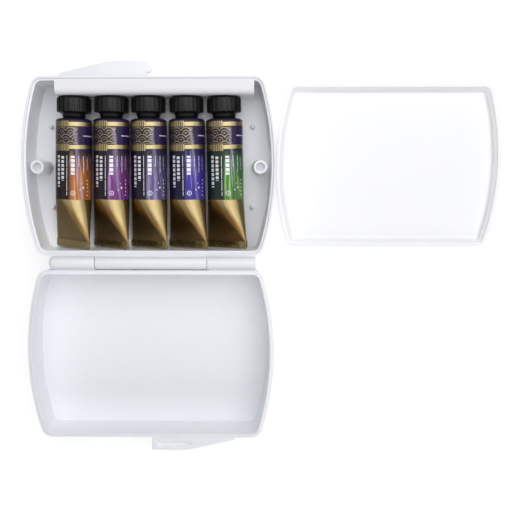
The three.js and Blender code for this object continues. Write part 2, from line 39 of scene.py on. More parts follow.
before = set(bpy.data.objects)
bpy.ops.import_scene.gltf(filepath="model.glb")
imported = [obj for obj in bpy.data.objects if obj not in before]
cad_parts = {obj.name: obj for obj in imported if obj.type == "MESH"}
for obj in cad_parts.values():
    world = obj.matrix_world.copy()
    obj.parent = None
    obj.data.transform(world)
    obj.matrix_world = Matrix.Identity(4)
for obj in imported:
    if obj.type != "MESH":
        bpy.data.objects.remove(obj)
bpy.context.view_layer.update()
print("nodes in the frame:", len(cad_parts))

# %% [markdown]
# ## Loops of points, skinned into walls
#
# Moulded and drawn walls change little from one level to the next. They could be extruded by hand or cut
# from blocks, but here each level is a closed loop of points and the loops are skinned one after the other,
# so that every radius and every thickness stays a number that can be read and changed.
# A loop that turns anticlockwise and climbs gives a wall that faces out. When the list comes back down
# inside the wall, the same rule makes it face the hollow.

# %% Skinning, joining and placing
SHARP_FROM = 35  # degrees between two faces


def skin(loops):
    """Points and faces of loops joined in order, with a fan over the first and the last."""
    count = len(loops[0])
    points = [point for loop in loops for point in loop]
    last = (len(loops) - 1) * count
    low_centre, high_centre = len(points), len(points) + 1
    points += [sum(loops[0], Vector()) / count, sum(loops[-1], Vector()) / count]
    faces = []
    for k in range(count):
        n = (k + 1) % count
        for level in range(0, last, count):
            faces.append((level + k, level + n, level + count + n, level + count + k))
        faces += [(low_centre, n, k), (high_centre, last + k, last + n)]
    return points, faces


def prism(near, far):
    """A prism between two equal outlines that run anticlockwise seen from the far one's side."""
    count = len(near)
    faces = [(k, (k + 1) % count, count + (k + 1) % count, count + k) for k in range(count)]
    faces += [tuple(reversed(range(count))), tuple(range(count, 2 * count))]
    return near + far, faces


def merged(*parts):
    """Several lists of points and faces as one."""
    points, faces = [], []
    for more_points, more_faces in parts:
        start = len(points)
        points += more_points
        faces += [tuple(i + start for i in face) for face in more_faces]
    return points, faces


def object_from(name, part, place=Matrix(), smooth_angle=SHARP_FROM):
    """A mesh object in metres, smooth except at edges sharper than the angle in degrees."""
    points, faces = part
    mesh = bpy.data.meshes.new(name)
    mesh.from_pydata([(place @ p) * MM for p in points], [], faces)
    mesh.validate()
    mesh.shade_smooth()
    mesh.set_sharp_from_angle(angle=math.radians(smooth_angle))
    return in_scene(name, mesh)


def in_scene(name, data):
    """A new object for a mesh, a lamp or a camera, linked into the scene."""
    made = bpy.data.objects.new(name, data)
    bpy.context.scene.collection.objects.link(made)
    return made


# %% [markdown]
# ## Arcs, bends and turned bodies
#
# Posts, pins, knuckles and caps come from round tools, so they are turned from a profile of radius and
# height pairs. A bevel would round their edges too. An arc in the profile does it in known places.

# %% Arcs, bends and turning
POLE = 0.02  # the radius at which a profile ends beside its axis


def arc(centre, radii, start, end, steps):
    """Pairs along a part of an ellipse, angles in degrees."""
    angles = [math.radians(start + (end - start) * i / steps) for i in range(steps + 1)]
    return [(centre[0] + radii[0] * math.cos(a), centre[1] + radii[1] * math.sin(a)) for a in angles]


def upper_round(radius, height, edge, steps):
    """Pairs that round off the upper edge of a turned body."""
    return arc((radius - edge, height - edge), (edge, edge), 0, 90, steps)


def bend(start, middle, end, steps=8):
    """Pairs along a smooth bend that leaves start towards middle and comes from there into end."""
    pairs = []
    for t in (i / steps for i in range(steps + 1)):
        near, between, far = (1 - t) ** 2, 2 * t * (1 - t), t**2
        pairs.append(tuple(near * a + between * b + far * c for a, b, c in zip(start, middle, end)))
    return pairs


def turned(profile, segments, matrix):
    """A body turned about Z from radius and height pairs, then placed by a matrix."""
    ring = [(math.cos(FULL * k / segments), math.sin(FULL * k / segments)) for k in range(segments)]
    return skin([[matrix @ Vector((radius * x, radius * y, z)) for x, y in ring] for radius, z in profile])


print("points in a quarter arc of eight steps:", len(arc((0, 0), (1, 1), 0, 90, 8)))

# %% [markdown]
# ## The bowed outline
#
# Base, lid and tray share one kind of outline. The long sides are straight, the ends are shallow arcs,
# and a small round joins them. A scaled copy would make the wall thicker at the ends than at the sides, so
# an inset moves the whole outline inwards by the same distance everywhere.

# %% Outline of the case
CASE = dict(width=119.4, depth=82.8, bow=6.65, corner_radius=5.5)
BOW_STEPS = 16
CORNER_STEPS = 10


def plan_loop(plan, inset, height):
    """One level of the outline at a height, as points in millimetres."""
    half_depth = plan["depth"] / 2
    bow = plan["bow"]
    bow_radius = (half_depth**2 + bow**2) / (2 * bow)
    bow_centre = plan["width"] / 2 - bow_radius
    end_radius = bow_radius - inset
    radius = plan["corner_radius"] - inset
    corner_y = half_depth - plan["corner_radius"]
    corner_x = bow_centre + math.sqrt((end_radius - radius) ** 2 - corner_y**2)
    tangent = math.degrees(math.atan2(corner_y, corner_x - bow_centre))
    quadrant = arc((bow_centre, 0), (end_radius, end_radius), 0, tangent, BOW_STEPS)
    quadrant += arc((corner_x, corner_y), (radius, radius), tangent, 90, CORNER_STEPS)[1:]
    half = quadrant + [(-x, y) for x, y in reversed(quadrant[1:])]
    whole = half + [(-x, -y) for x, y in half]
    return [Vector((x, y, height)) for x, y in whole]


print("points in one outline:", len(plan_loop(CASE, 0, 0)))

# %% [markdown]
# ## Levels of a moulded shell
#
# A shell is listed as inset and height pairs: the flat underside, the rounded foot, the outer wall, the rim
# with its small rounds, and then back down the inner wall to the floor. Moulded edges are never quite sharp,
# and it is these small rounds that catch the light.

# %% Feet, walls and rounded rims
FOOT_STEPS = 8
WALL_START = 0.8  # height above a foot's rounding at which the plain wall starts
OUTER_LEAN, INNER_LEAN = 0.05, 0.03
UNDERSIDE_MARGINS = (1.0, 0.3)
FLOOR_MARGINS = (0.4, 1.2)
EDGE_TURNS = (0, 0.4, 0.8, 1.2, QUARTER)


def rising_edge(inset, top, edge, turns):
    """Levels round the outer edge of a rim."""
    return [(inset + edge * (1 - math.cos(a)), top - edge * (1 - math.sin(a))) for a in turns]


def falling_edge(inset, top, edge, turns=EDGE_TURNS):
    """Levels round the inner edge of a rim."""
    return [(inset - edge * (1 - math.sin(a)), top - edge * (1 - math.cos(a))) for a in turns]


def outer_levels(under_inset, foot, top, edge):
    """Underside, rounded foot, outer wall and the round at the rim's outer edge."""
    foot_inset, foot_height = foot
    levels = [(under_inset + margin, 0) for margin in UNDERSIDE_MARGINS]
    levels += arc((under_inset, foot_height), (foot_inset - under_inset, foot_height), -90, 0, FOOT_STEPS)
    levels += [(foot_inset - OUTER_LEAN, foot_height + WALL_START), (0.0, top - edge)]
    return levels + rising_edge(0, top, edge, EDGE_TURNS[1:])


def inner_levels(wall_inset, wall_top, foot, floor_inset, floor, margins=FLOOR_MARGINS):
    """Inner wall, rounded foot and floor, from the top down, then margins on the flat floor."""
    foot_inset, foot_height = foot
    radii = (foot_inset - floor_inset, foot_height - floor)
    levels = [(wall_inset, wall_top), (foot_inset - INNER_LEAN, foot_height + WALL_START)]
    levels += arc((floor_inset, foot_height), radii, 0, -90, FOOT_STEPS)
    return levels + [(floor_inset + margin, floor) for margin in margins]


def shell_of(plan, levels):
    """A closed shell from its levels."""
    return skin([plan_loop(plan, inset, height) for inset, height in levels])


print("levels round one edge:", len(EDGE_TURNS))

# %% [markdown]
# ## Shells of base and lid
#
# The two halves come from the same mould outline. The base's rim is a lip with a lower step inside it, and
# the lid's rim carries a tongue that drops into that step when the box is shut.

# %% Shells of base and lid
CASE_HEIGHT = 22.0
FLOOR = 1.8
EDGE = 0.28
LIP_WIDTH = 1.1
RIM_WIDTH = 2.1
STEP_HEIGHT = CASE_HEIGHT - 1.0
STEP_FILLET = 0.15
UNDERSIDE_INSET = 3.4
FLOOR_INSET = 2.5
OUTER_FOOT = (0.9, 3.2)  # inset and height at which a foot's rounding ends
INNER_FOOT = (2.25, 3.6)
TONGUE_HEIGHT = CASE_HEIGHT + 0.7
TONGUE_INSET = 1.4
TONGUE_EDGE = 0.2
TONGUE_FILLET = 0.12
TONGUE_TURNS = (0, 0.5, 1.0, QUARTER)
UNDER_STEP, UNDER_TONGUE = 0.3, 0.4  # from the end of the rim's round down to the inner wall

outside = outer_levels(UNDERSIDE_INSET, OUTER_FOOT, CASE_HEIGHT, EDGE)

base_levels = outside + falling_edge(LIP_WIDTH, CASE_HEIGHT, EDGE)
base_levels += [(LIP_WIDTH, STEP_HEIGHT + STEP_FILLET), (LIP_WIDTH + STEP_FILLET, STEP_HEIGHT)]
base_levels += falling_edge(RIM_WIDTH, STEP_HEIGHT, EDGE)
base_levels += inner_levels(RIM_WIDTH, STEP_HEIGHT - EDGE - UNDER_STEP, INNER_FOOT, FLOOR_INSET, FLOOR)

lid_levels = outside + [(TONGUE_INSET - TONGUE_FILLET, CASE_HEIGHT)]
lid_levels += [(TONGUE_INSET, CASE_HEIGHT + TONGUE_FILLET)]
lid_levels += rising_edge(TONGUE_INSET, TONGUE_HEIGHT, TONGUE_EDGE, TONGUE_TURNS)
lid_levels += falling_edge(RIM_WIDTH, TONGUE_HEIGHT, TONGUE_EDGE, TONGUE_TURNS)
wall_top = TONGUE_HEIGHT - TONGUE_EDGE - UNDER_TONGUE
lid_levels += inner_levels(RIM_WIDTH, wall_top, INNER_FOOT, FLOOR_INSET, FLOOR)
print("levels in base and lid:", len(base_levels), len(lid_levels))

# %% [markdown]
# ## Posts and pins
#
# Two posts with blind bores carry the mixing tray over the tubes, and four low pins keep the row from
# sliding. They are moulded in one piece with the floor. A boolean union would weld them but leave ragged
# faces round each foot, so each one is a closed body that stands in the floor on its own small fillet.

# %% Posts and pins
POST_X = 52.4
POST_TOP = FLOOR + 19.8
POST_FOOT = [(4.2, -0.2), (4.2, 0), (3.75, 0.12), (3.5, 0.45), (3.39, 0.9)]  # radius, height over the floor
POST_RADIUS, POST_EDGE = 3.15, 0.3
BORE_RADIUS, BORE_EDGE = 2.1, 0.2
BORE_END = [(2.1, 4.3), (2.0, 4.75), (1.7, 4.95), (1.2, 5.0)]  # radius, depth under the post's top
PIN_PLACE = (49.1, 19.4)
PIN_HEIGHT = 2.55
PIN_FOOT = [(1.35, -0.1), (1.35, 0), (1.1, 0.2), (0.75, PIN_HEIGHT)]
PIN_TIP = (0.74, 0.42)


def post(x):
    """A tapering post with a rounded top and a blind bore."""
    profile = [(radius, FLOOR + height) for radius, height in POST_FOOT]
    profile += upper_round(POST_RADIUS, POST_TOP, POST_EDGE, 5)
    profile += arc((BORE_RADIUS + BORE_EDGE, POST_TOP - BORE_EDGE), (BORE_EDGE, BORE_EDGE), 90, 180, 5)
    profile += [(radius, POST_TOP - depth) for radius, depth in BORE_END]
    return turned(profile, segments=48, matrix=Matrix.Translation((x, 0, 0)))


def pin(x, y):
    """A short tapering pin with a round tip."""
    profile = [(radius, FLOOR + height) for radius, height in PIN_FOOT]
    profile += arc((0, FLOOR + PIN_HEIGHT), PIN_TIP, 10, 85, 5)
    return turned(profile, segments=20, matrix=Matrix.Translation((x, y, 0)))


sides = (-1, 1)
posts = [post(side * POST_X) for side in sides]
pins = [pin(right * PIN_PLACE[0], back * PIN_PLACE[1]) for right in sides for back in sides]
print("posts and pins:", len(posts), len(pins))

# %% [markdown]
# ## Hinge
#
# Three knuckles turn on one drawn steel rod: the middle one belongs to the base, the outer two to the lid.
# The left end is closed and round like a thimble, and the right end is open. Knuckles are turned about the
# hinge line, and a web of constant section, drawn out along it, ties each one to its wall.

# %% Knuckles, webs and rod
HINGE_Y = -45.0
HINGE_Z = 22.15
HINGE_LINE = Matrix.Translation((0, HINGE_Y, HINGE_Z)) @ ALONG_X
LEFT_SPAN, MIDDLE_SPAN, RIGHT_SPAN = (-48.0, -26.1), (-25.8, 27.2), (27.5, 50.4)
KNUCKLE_RADIUS, KNUCKLE_EDGE = 3.05, 0.25
THIMBLE = 2.2
KNUCKLE_BORE, KNUCKLE_BORE_EDGE, KNUCKLE_BORE_DEPTH = 1.3, 0.15, 3.0
WEB_REACH = 4.4
WEB_FOOT, WEB_TOP = CASE_HEIGHT - 7.6, CASE_HEIGHT - 0.4
ROD_RADIUS, ROD_EDGE = 1.2, 0.2
ROD_SPAN = (-46.3, 50.1)


def knuckle(span, round_left=False, open_right=False):
    """A barrel along the hinge line with softened ends."""
    left, right = span
    shoulder = KNUCKLE_RADIUS - KNUCKLE_EDGE
    profile = [(POLE, left)]
    if round_left:
        profile += arc((0, left + THIMBLE), (KNUCKLE_RADIUS, THIMBLE), -90, 0, 10)[1:]
    else:
        profile += [(shoulder, left)]
        profile += arc((shoulder, left + KNUCKLE_EDGE), (KNUCKLE_EDGE, KNUCKLE_EDGE), -60, 0, 3)
    profile += upper_round(KNUCKLE_RADIUS, right, KNUCKLE_EDGE, 4)
    if open_right:
        profile += [(KNUCKLE_BORE + KNUCKLE_BORE_EDGE, right), (KNUCKLE_BORE, right - KNUCKLE_BORE_EDGE)]
        profile += [(KNUCKLE_BORE, right - KNUCKLE_BORE_DEPTH)]
    return turned(profile, segments=56, matrix=HINGE_LINE)


def prism_x(corners, span):
    """A prism along X from Y and Z corners that run anticlockwise seen from +X."""
    return prism(*[[Vector((x, y, z)) for y, z in corners] for x in span])


def web(side, span):
    """The web between a knuckle and its wall, behind (1) or in front (-1)."""
    wall_y = HINGE_Y + side * WEB_REACH
    low = HINGE_Z - KNUCKLE_RADIUS
    corners = [(HINGE_Y, low), (wall_y, WEB_FOOT), (wall_y, WEB_TOP), (HINGE_Y, WEB_TOP)]
    return prism_x(corners[::side], span)


base_hinge = [knuckle(MIDDLE_SPAN), web(1, MIDDLE_SPAN)]
lid_hinge = [knuckle(LEFT_SPAN, round_left=True), knuckle(RIGHT_SPAN, open_right=True)]
lid_hinge += [web(-1, (LEFT_SPAN[0] + THIMBLE, LEFT_SPAN[1])), web(-1, RIGHT_SPAN)]
rod_left, rod_right = ROD_SPAN
rod_profile = [(POLE, rod_left), (ROD_RADIUS - ROD_EDGE, rod_left), (ROD_RADIUS, rod_left + ROD_EDGE)]
rod_profile += [(ROD_RADIUS, rod_right - ROD_EDGE), (ROD_RADIUS - ROD_EDGE, rod_right), (POLE, rod_right)]
rod_skin = object_from("rod_skin", turned(rod_profile, segments=32, matrix=HINGE_LINE))
print("bodies of the base's and the lid's hinge:", len(base_hinge), len(lid_hinge))

# %% [markdown]
# ## The case as objects
#
# The lid lies open in front of the base with its hollow up. Its outline is the same on both sides, so its
# loops only need to be moved, by twice the hinge's distance. Shell, posts, pins and hinge then become one
# object for each half, because a piece that moves as one is easier to place and to colour. The latch halves
# stay objects of their own, because their edges are cut and rounded by modifiers.

# %% Base and lid
LID_SHIFT = Vector((0, 2 * HINGE_Y, 0))

base_skin = object_from("base_skin", merged(shell_of(CASE, base_levels), *posts, *pins, *base_hinge))
lid_points, lid_faces = shell_of(CASE, lid_levels)
lid_wall = ([point + LID_SHIFT for point in lid_points], lid_faces)
lid_skin = object_from("lid_skin", merged(lid_wall, *lid_hinge))
print("base and lid vertices:", len(base_skin.data.vertices), len(lid_skin.data.vertices))

# %% [markdown]
# ## Latch halves
#
# Each half is flat by the middle of the front and tapers away to a point, so that the shut box has one
# lens-shaped catch. The base's half ends in a small half-round nub. The lid's half has a long grip recess,
# round at one end and pointed at the other. The recess is cut with a boolean before a bevel rounds the
# edges, because then one bevel softens the outline and the recess alike.

# %% Plans of the latch halves
LATCH_LENGTH = 41.0
LATCH_FLAT = 17.6
LATCH_REACH = 6.5
LATCH_TIP_REACH = 1.2
LATCH_ROOT = 0.9
LATCH_GAP = 0.15
LATCH_BEND = 3.0
LATCH_POINT = ((0.5, 0.11), (0, -0.4))  # back from the end, and out from the tip's reach
FRONT_Y = CASE["depth"] / 2
GRIP_RADIUS = 1.15
GRIP_LEFT, GRIP_STRAIGHT, GRIP_RIGHT = 3.0, 13.5, 20.0
GRIP_Y = -FRONT_Y - 3.4


def latch_outline(side, wall_y, outward):
    """Plan of a latch half, anticlockwise where side and outward have opposite signs."""
    reach_y, tip_y = wall_y + outward * LATCH_REACH, wall_y + outward * LATCH_TIP_REACH
    root_y = wall_y - outward * LATCH_ROOT
    fall = LATCH_BEND * (LATCH_REACH - LATCH_TIP_REACH) / (LATCH_LENGTH - LATCH_FLAT)
    start = (side * (LATCH_FLAT - LATCH_BEND), reach_y)
    end = (side * (LATCH_FLAT + LATCH_BEND), reach_y - outward * fall)
    points = [(side * LATCH_GAP, root_y), (side * LATCH_GAP, reach_y)]
    points += bend(start, (side * LATCH_FLAT, reach_y), end)
    points += [(side * (LATCH_LENGTH - back), tip_y + outward * out) for back, out in LATCH_POINT]
    return points + [(side * LATCH_LENGTH, root_y)]


def grip_outline():
    """Plan of the grip recess: round at the left, pointed at the right."""
    centre = (GRIP_LEFT + GRIP_RADIUS, GRIP_Y)
    shoulder = (GRIP_STRAIGHT + GRIP_RIGHT) / 2
    low, high, tip = GRIP_Y - GRIP_RADIUS, GRIP_Y + GRIP_RADIUS, (GRIP_RIGHT, GRIP_Y)
    points = arc(centre, (GRIP_RADIUS, GRIP_RADIUS), 90, 270, 16)
    points += bend((GRIP_STRAIGHT, low), (shoulder, low), tip)
    return points + bend(tip, (shoulder, high), (GRIP_STRAIGHT, high))[1:]


print("points in the plans of latch and grip:", len(latch_outline(1, 0, 1)), len(grip_outline()))

# %% Latch halves and nub
LATCH_TOP = CASE_HEIGHT - 0.4
LATCH_FOOT = LATCH_TOP - 3.6
LATCH_EDGE, LATCH_SEGMENTS, LATCH_BEVEL_FROM = 0.3, 3, 40
GRIP_DEPTH = 1.0
NUB_PLACE = (0.3, FRONT_Y + 3.1, 0)
NUB_TOP = LATCH_TOP - 0.4
NUB_RADIUS, NUB_EDGE = 1.65, 0.3
NUB_FOOT = [(1.45, NUB_TOP - 2.6), (NUB_RADIUS, NUB_TOP - 2.4)]


def upright_prism(outline, low, high):
    """A prism from X and Y corners that run anticlockwise seen from above."""
    return prism(*[[Vector((x, y, z)) for x, y in outline] for z in (low, high)])


def bake(made):
    """Turns an object's modifiers into its mesh."""
    graph = bpy.context.evaluated_depsgraph_get()
    result = bpy.data.meshes.new_from_object(made.evaluated_get(graph))
    made.modifiers.clear()
    made.data = result
    result.shade_smooth()
    result.set_sharp_from_angle(angle=math.radians(SHARP_FROM))


def latch_half(name, outline, cutter=None):
    """A latch half with rounded edges, less what the cutter takes away."""
    block = object_from(name, upright_prism(outline, LATCH_FOOT, LATCH_TOP))
    if cutter is not None:
        cut = block.modifiers.new("cut", "BOOLEAN")
        cut.object = cutter
        cut.operation = "DIFFERENCE"
        cut.solver = "EXACT"
    round_off = block.modifiers.new("round", "BEVEL")
    round_off.width = LATCH_EDGE * MM
    round_off.segments = LATCH_SEGMENTS
    round_off.limit_method = "ANGLE"
    round_off.angle_limit = math.radians(LATCH_BEVEL_FROM)
    bake(block)
    return block


base_latch = latch_half("base_latch", latch_outline(-1, FRONT_Y, 1))
nub_profile = NUB_FOOT + upper_round(NUB_RADIUS, NUB_TOP, NUB_EDGE, 4)
nub = turned(nub_profile, segments=32, matrix=Matrix.Translation(NUB_PLACE))
base_nub = object_from("base_nub", nub)
grip = upright_prism(grip_outline(), LATCH_TOP - GRIP_DEPTH, LATCH_TOP + GRIP_DEPTH)
grip_cutter = object_from("grip_cutter", grip, Matrix.Translation(LID_SHIFT))
lid_latch_plan = [(x, y + LID_SHIFT.y) for x, y in latch_outline(1, -FRONT_Y, -1)]
lid_latch = latch_half("lid_latch", lid_latch_plan, grip_cutter)
bpy.data.objects.remove(grip_cutter)
print("latch faces:", len(base_latch.data.polygons), len(lid_latch.data.polygons))

# %% [markdown]
# ## Spacer strip
#
# The strip is one sheet of card folded into a channel: a flap on the rim's step, a rounded fold, a wall in
# front of the caps and a foot on the floor. A plane with a solidify modifier would do too. Here the section
# is written once, with its real thickness, and drawn out along X.

# %% Spacer strip
STRIP_SPAN = (-43.2, 49.2)
STRIP_THICK = 0.5
STRIP_FRONT, STRIP_BACK, STRIP_FOOT_BACK = 33.2, 40.2, 37.8
STRIP_TOP, STRIP_LOW = STEP_HEIGHT + STRIP_THICK, FLOOR + 0.05
TOP_FOLD, FOOT_FOLD = 2.8, 1.2


def sheet_side(depth, top_steps=12, foot_steps=8):
    """One side of the folded sheet from the flap to the foot, at a depth under its outside."""
    top_radius, foot_radius = TOP_FOLD - depth, FOOT_FOLD - depth
    side = [(STRIP_BACK, STRIP_TOP - depth)]
    side += arc((STRIP_FRONT + TOP_FOLD, STRIP_TOP - TOP_FOLD), (top_radius,) * 2, 90, 180, top_steps)
    side += arc((STRIP_FRONT + FOOT_FOLD, STRIP_LOW + FOOT_FOLD), (foot_radius,) * 2, 180, 270, foot_steps)
    return side + [(STRIP_FOOT_BACK, STRIP_LOW + depth)]


strip_section = sheet_side(0) + sheet_side(STRIP_THICK)[::-1]
strip_skin = object_from("strip_skin", prism_x(strip_section, STRIP_SPAN))
print("points in the strip's section:", len(strip_section))

# %% [markdown]
# ## Mixing tray
#
# The tray is a shallow dish with the case's outline, a little smaller, so that it rests on the two posts
# when the box is shut. It uses the same levels as the case, with its own numbers.

# %% Mixing tray
TRAY = dict(width=109.0, depth=77.8, bow=6.3, corner_radius=4.6)
TRAY_PLACE = Vector((115.2, 0.8, 0))
TRAY_HEIGHT, TRAY_FLOOR = 5.4, 1.2
TRAY_EDGE, TRAY_INNER_EDGE = 0.3, 0.4
TRAY_RIM, TRAY_WALL = 1.8, 1.85
TRAY_UNDERSIDE_INSET, TRAY_FLOOR_INSET = 2.6, 4.4
TRAY_OUTER_FOOT, TRAY_INNER_FOOT = (1.3, 1.6), (3.0, 2.6)
TRAY_MARGINS = (0.1,)

tray_levels = outer_levels(TRAY_UNDERSIDE_INSET, TRAY_OUTER_FOOT, TRAY_HEIGHT, TRAY_EDGE)
tray_levels += falling_edge(TRAY_RIM, TRAY_HEIGHT, TRAY_INNER_EDGE)
wall_top = TRAY_HEIGHT - 2 * TRAY_INNER_EDGE
tray_levels += inner_levels(
    TRAY_WALL, wall_top, TRAY_INNER_FOOT, TRAY_FLOOR_INSET, TRAY_FLOOR, TRAY_MARGINS
)
tray_skin = object_from("tray_skin", shell_of(TRAY, tray_levels), Matrix.Translation(TRAY_PLACE))
print("tray levels:", len(tray_levels))

# %% [markdown]
# ## Places of the paint tubes
#
# Five tubes lie loose in a row, each a little turned. The row's pitch is 18.1 mm, and small shifts and turns
# follow the photograph. The folded seams are wider than the pitch, so all five are tilted the same way,
# right end up, and overlap like roof tiles.

# %% Places of the paint tubes
TUBE_SHIFTS = (-0.2, -0.096, -0.096, 0.24, 0.4)
TUBE_TURNS = (-0.03, -0.02, -0.003, 0.009, 0.022)
TUBE_PITCH = 18.1
TUBES = range(len(TUBE_SHIFTS))
ROW_MIDDLE, MIDDLE_TUBE = -0.7, 2
TUBE_X = [ROW_MIDDLE + TUBE_PITCH * (k - MIDDLE_TUBE) + TUBE_SHIFTS[k] for k in TUBES]
TUBE_RADIUS = 8.65
TUBE_SEAT = 1.9
TUBE_AXIS = TUBE_SEAT + TUBE_RADIUS


def tube_place(k):
    """Where the loose tube with number k lies: its place in the row and its small turn."""
    return Matrix.Translation((TUBE_X[k], 0, 0)) @ Matrix.Rotation(TUBE_TURNS[k], 4, "Z")


print("tube centres, mm:", [round(x, 1) for x in TUBE_X])

# %% [markdown]
# ## Paint tubes
#
# A tube keeps its girth while it flattens. Each section of the tail is a round swept along a part of the
# seam, so the round body runs into a straight folded seam as real foil does: two flat sides and two cones.
# Squeezing a cylinder with a lattice would stretch the label, and this doesn't.
# The surface carries a UV map: U goes round the tube, V runs along it in centimetres.

# %% Sizes and sections of a tube
BODY_TOP = 21.9
TAIL_START, TAIL_END = -14.5, -35.2
TAIL_STEPS = 30
TAIL_CURVE = 1.15  # above 1, the tail flattens late
FLAT_HALF = 0.45
CRIMP_WIDTH = 26.4
CRIMP_THICKNESS = 1.0
CRIMP_TILT = 0.768
SEAM_Z = TUBE_SEAT + CRIMP_WIDTH / 2 * math.sin(CRIMP_TILT) + CRIMP_THICKNESS / 2 * math.cos(CRIMP_TILT)
FLAT_TURN = 0.28  # how far the two flat sides turn, in radians
CONE_STEPS, FLAT_STEPS = 40, 8
BODY_STATIONS = (-12, -8, -2, 6, 14, 20, BODY_TOP - 0.3)
# Radius and place along the tube
SHOULDER = [(8.58, 21.75), (8.38, 22.05), (7.98, 22.35), (7.4, 22.6)]
SHOULDER += [(5.6, 22.95), (4.6, 23.0), (4.15, 23.05)]
NECK = [(4.1, 23.3), (4.1, 29.2), (3.7, 29.6), (2.8, 29.6), (2.5, 29.3), (2.5, 24.0)]


def section_stations():
    """Angle round the tube and place on the seam, -1 left to 1 right, anticlockwise about +Y."""
    stations = []
    cone_turn = math.pi - FLAT_TURN
    for side in (1, -1):
        first = CRIMP_TILT - side * QUARTER + FLAT_TURN / 2
        stations += [(first + cone_turn * i / CONE_STEPS, side) for i in range(CONE_STEPS)]
        for share in (i / FLAT_STEPS for i in range(FLAT_STEPS)):
            stations.append((first + cone_turn + FLAT_TURN * share, side * (1 - 2 * share)))
    return stations[::-1]


STATIONS = section_stations()
print("points in a section:", len(STATIONS))

# %% Tube bodies
CENTIMETRE = 10  # in millimetres


def tube_loop(share, y, radius=TUBE_RADIUS):
    """One section of the tube, from round (0) to the seam (1)."""
    flatness = (1 - FLAT_HALF / TUBE_RADIUS) * share**TAIL_CURVE
    reach = radius * (1 - flatness)
    height = TUBE_AXIS + (SEAM_Z - TUBE_AXIS) * flatness
    loop = []
    for angle, place in STATIONS:
        along = place * CRIMP_WIDTH / 2 * flatness
        x = along * math.cos(CRIMP_TILT) + reach * math.cos(angle)
        z = height + along * math.sin(CRIMP_TILT) + reach * math.sin(angle)
        loop.append(Vector((x, y, z)))
    return loop


def tube_loops():
    """Loops of a tube from the seam's flat end up to the neck's mouth."""
    shares = [1 - i / TAIL_STEPS for i in range(TAIL_STEPS + 1)]
    loops = [tube_loop(share, TAIL_START + (TAIL_END - TAIL_START) * share) for share in shares]
    loops += [tube_loop(0, y) for y in BODY_STATIONS]
    return loops + [tube_loop(0, y, radius) for radius, y in SHOULDER + NECK]


def tube_object(k):
    """One tube in place, with its UV map."""
    part = skin(tube_loops())
    made = object_from(f"tube_skin_{k + 1}", part, tube_place(k), smooth_angle=50)
    layer = made.data.uv_layers.new(name="UVMap")
    turns = [(angle / FULL) % 1.0 for angle, _ in STATIONS]
    for face in made.data.polygons:
        around = [turns[i % len(STATIONS)] for i in face.vertices]
        wraps = max(around) - min(around) > 0.5
        for corner, vertex, turn in zip(face.loop_indices, face.vertices, around):
            turn = turn + 1 if wraps and turn < 0.5 else turn
            layer.data[corner].uv = (turn, part[0][vertex].y / CENTIMETRE)
    return made


tube_skins = [tube_object(k) for k in TUBES]
print("faces in a tube:", len(tube_skins[0].data.polygons))

# %% [markdown]
# ## Folded seams
#
# The end of a tube is folded over twice and pressed between ribbed jaws. The bar is skinned from side views
# set side by side across the tail: each one is the lapped fold, pulled in at the corners and raised a few
# hundredths of a millimetre where a rib was pressed. A bump texture would give no ribs to the outline.

# %% Folded seams
CRIMP_END = -38.6
CRIMP_STATIONS = 120
CORNER = 0.9
PRESS_PITCH, PRESS_HEIGHT = 0.95, 0.045
HALF_FOLD = CRIMP_THICKNESS / 2
RIBBED_FROM = 0.4  # points further than this from the middle carry the ribs
FOLD_OUTLINE = [(TAIL_END + 0.5, -0.28), (TAIL_END + 0.1, -0.48), (CRIMP_END + 0.25, -HALF_FOLD)]
FOLD_OUTLINE += [(CRIMP_END, -0.3), (CRIMP_END, 0.3), (CRIMP_END + 0.25, HALF_FOLD)]
FOLD_OUTLINE += [(TAIL_END - 0.2, HALF_FOLD), (TAIL_END + 0.05, 0.42), (TAIL_END + 0.3, 0.3)]


def fold_loop(across):
    """The fold's side view at a place across the tail."""
    edge = min(CORNER, CRIMP_WIDTH / 2 - abs(across))
    pull = CORNER - math.sqrt(CORNER**2 - (CORNER - edge) ** 2)
    rib = PRESS_HEIGHT * math.sin(across * FULL / PRESS_PITCH)
    loop = []
    for y, height in FOLD_OUTLINE:
        height += rib if abs(height) > RIBBED_FROM else 0
        height = max(-HALF_FOLD, min(HALF_FOLD, height))
        x = across * math.cos(CRIMP_TILT) - height * math.sin(CRIMP_TILT)
        z = across * math.sin(CRIMP_TILT) + height * math.cos(CRIMP_TILT)
        loop.append(Vector((x, max(y, CRIMP_END + pull), SEAM_Z + z)))
    return loop


def seam_object(k):
    """The seam of one tube, a bar with rounded corners and fine pressed ribs along it."""
    loops = [fold_loop(CRIMP_WIDTH * (i / CRIMP_STATIONS - 0.5)) for i in range(CRIMP_STATIONS + 1)]
    return object_from(f"tube_seam_{k + 1}", skin(loops), tube_place(k), smooth_angle=30)


seam_skins = [seam_object(k) for k in TUBES]
print("faces in a seam:", len(seam_skins[0].data.polygons))

# %% [markdown]
# ## One function for every node
#
# Node trees could be clicked together by hand, but a written tree can be read, counted and built again.
# `node` adds any node. Names that start small set its fields, names that start with a capital set its
# sockets, and plain values fill the open sockets in order. A node given as a value is linked.
# Colours are written as sRGB hex and turned to linear, in which Blender mixes light, by one function.


# %% Nodes, colours and materials
def linear(code):
    """Linear RGBA from an sRGB hex colour."""
    values = [int(code[i : i + 2], 16) / 255 for i in (1, 3, 5)]
    return tuple(v / 12.92 if v <= 0.04045 else ((v + 0.055) / 1.055) ** 2.4 for v in values) + (1.0,)


def give(tree, socket, value):
    """Gives a socket a link, if the value is a node or a socket, or else the plain value."""
    if isinstance(value, bpy.types.Node):
        value = next(output for output in value.outputs if output.enabled)
    if isinstance(value, bpy.types.NodeSocket):
        tree.links.new(value, socket)
    else:
        socket.default_value = value


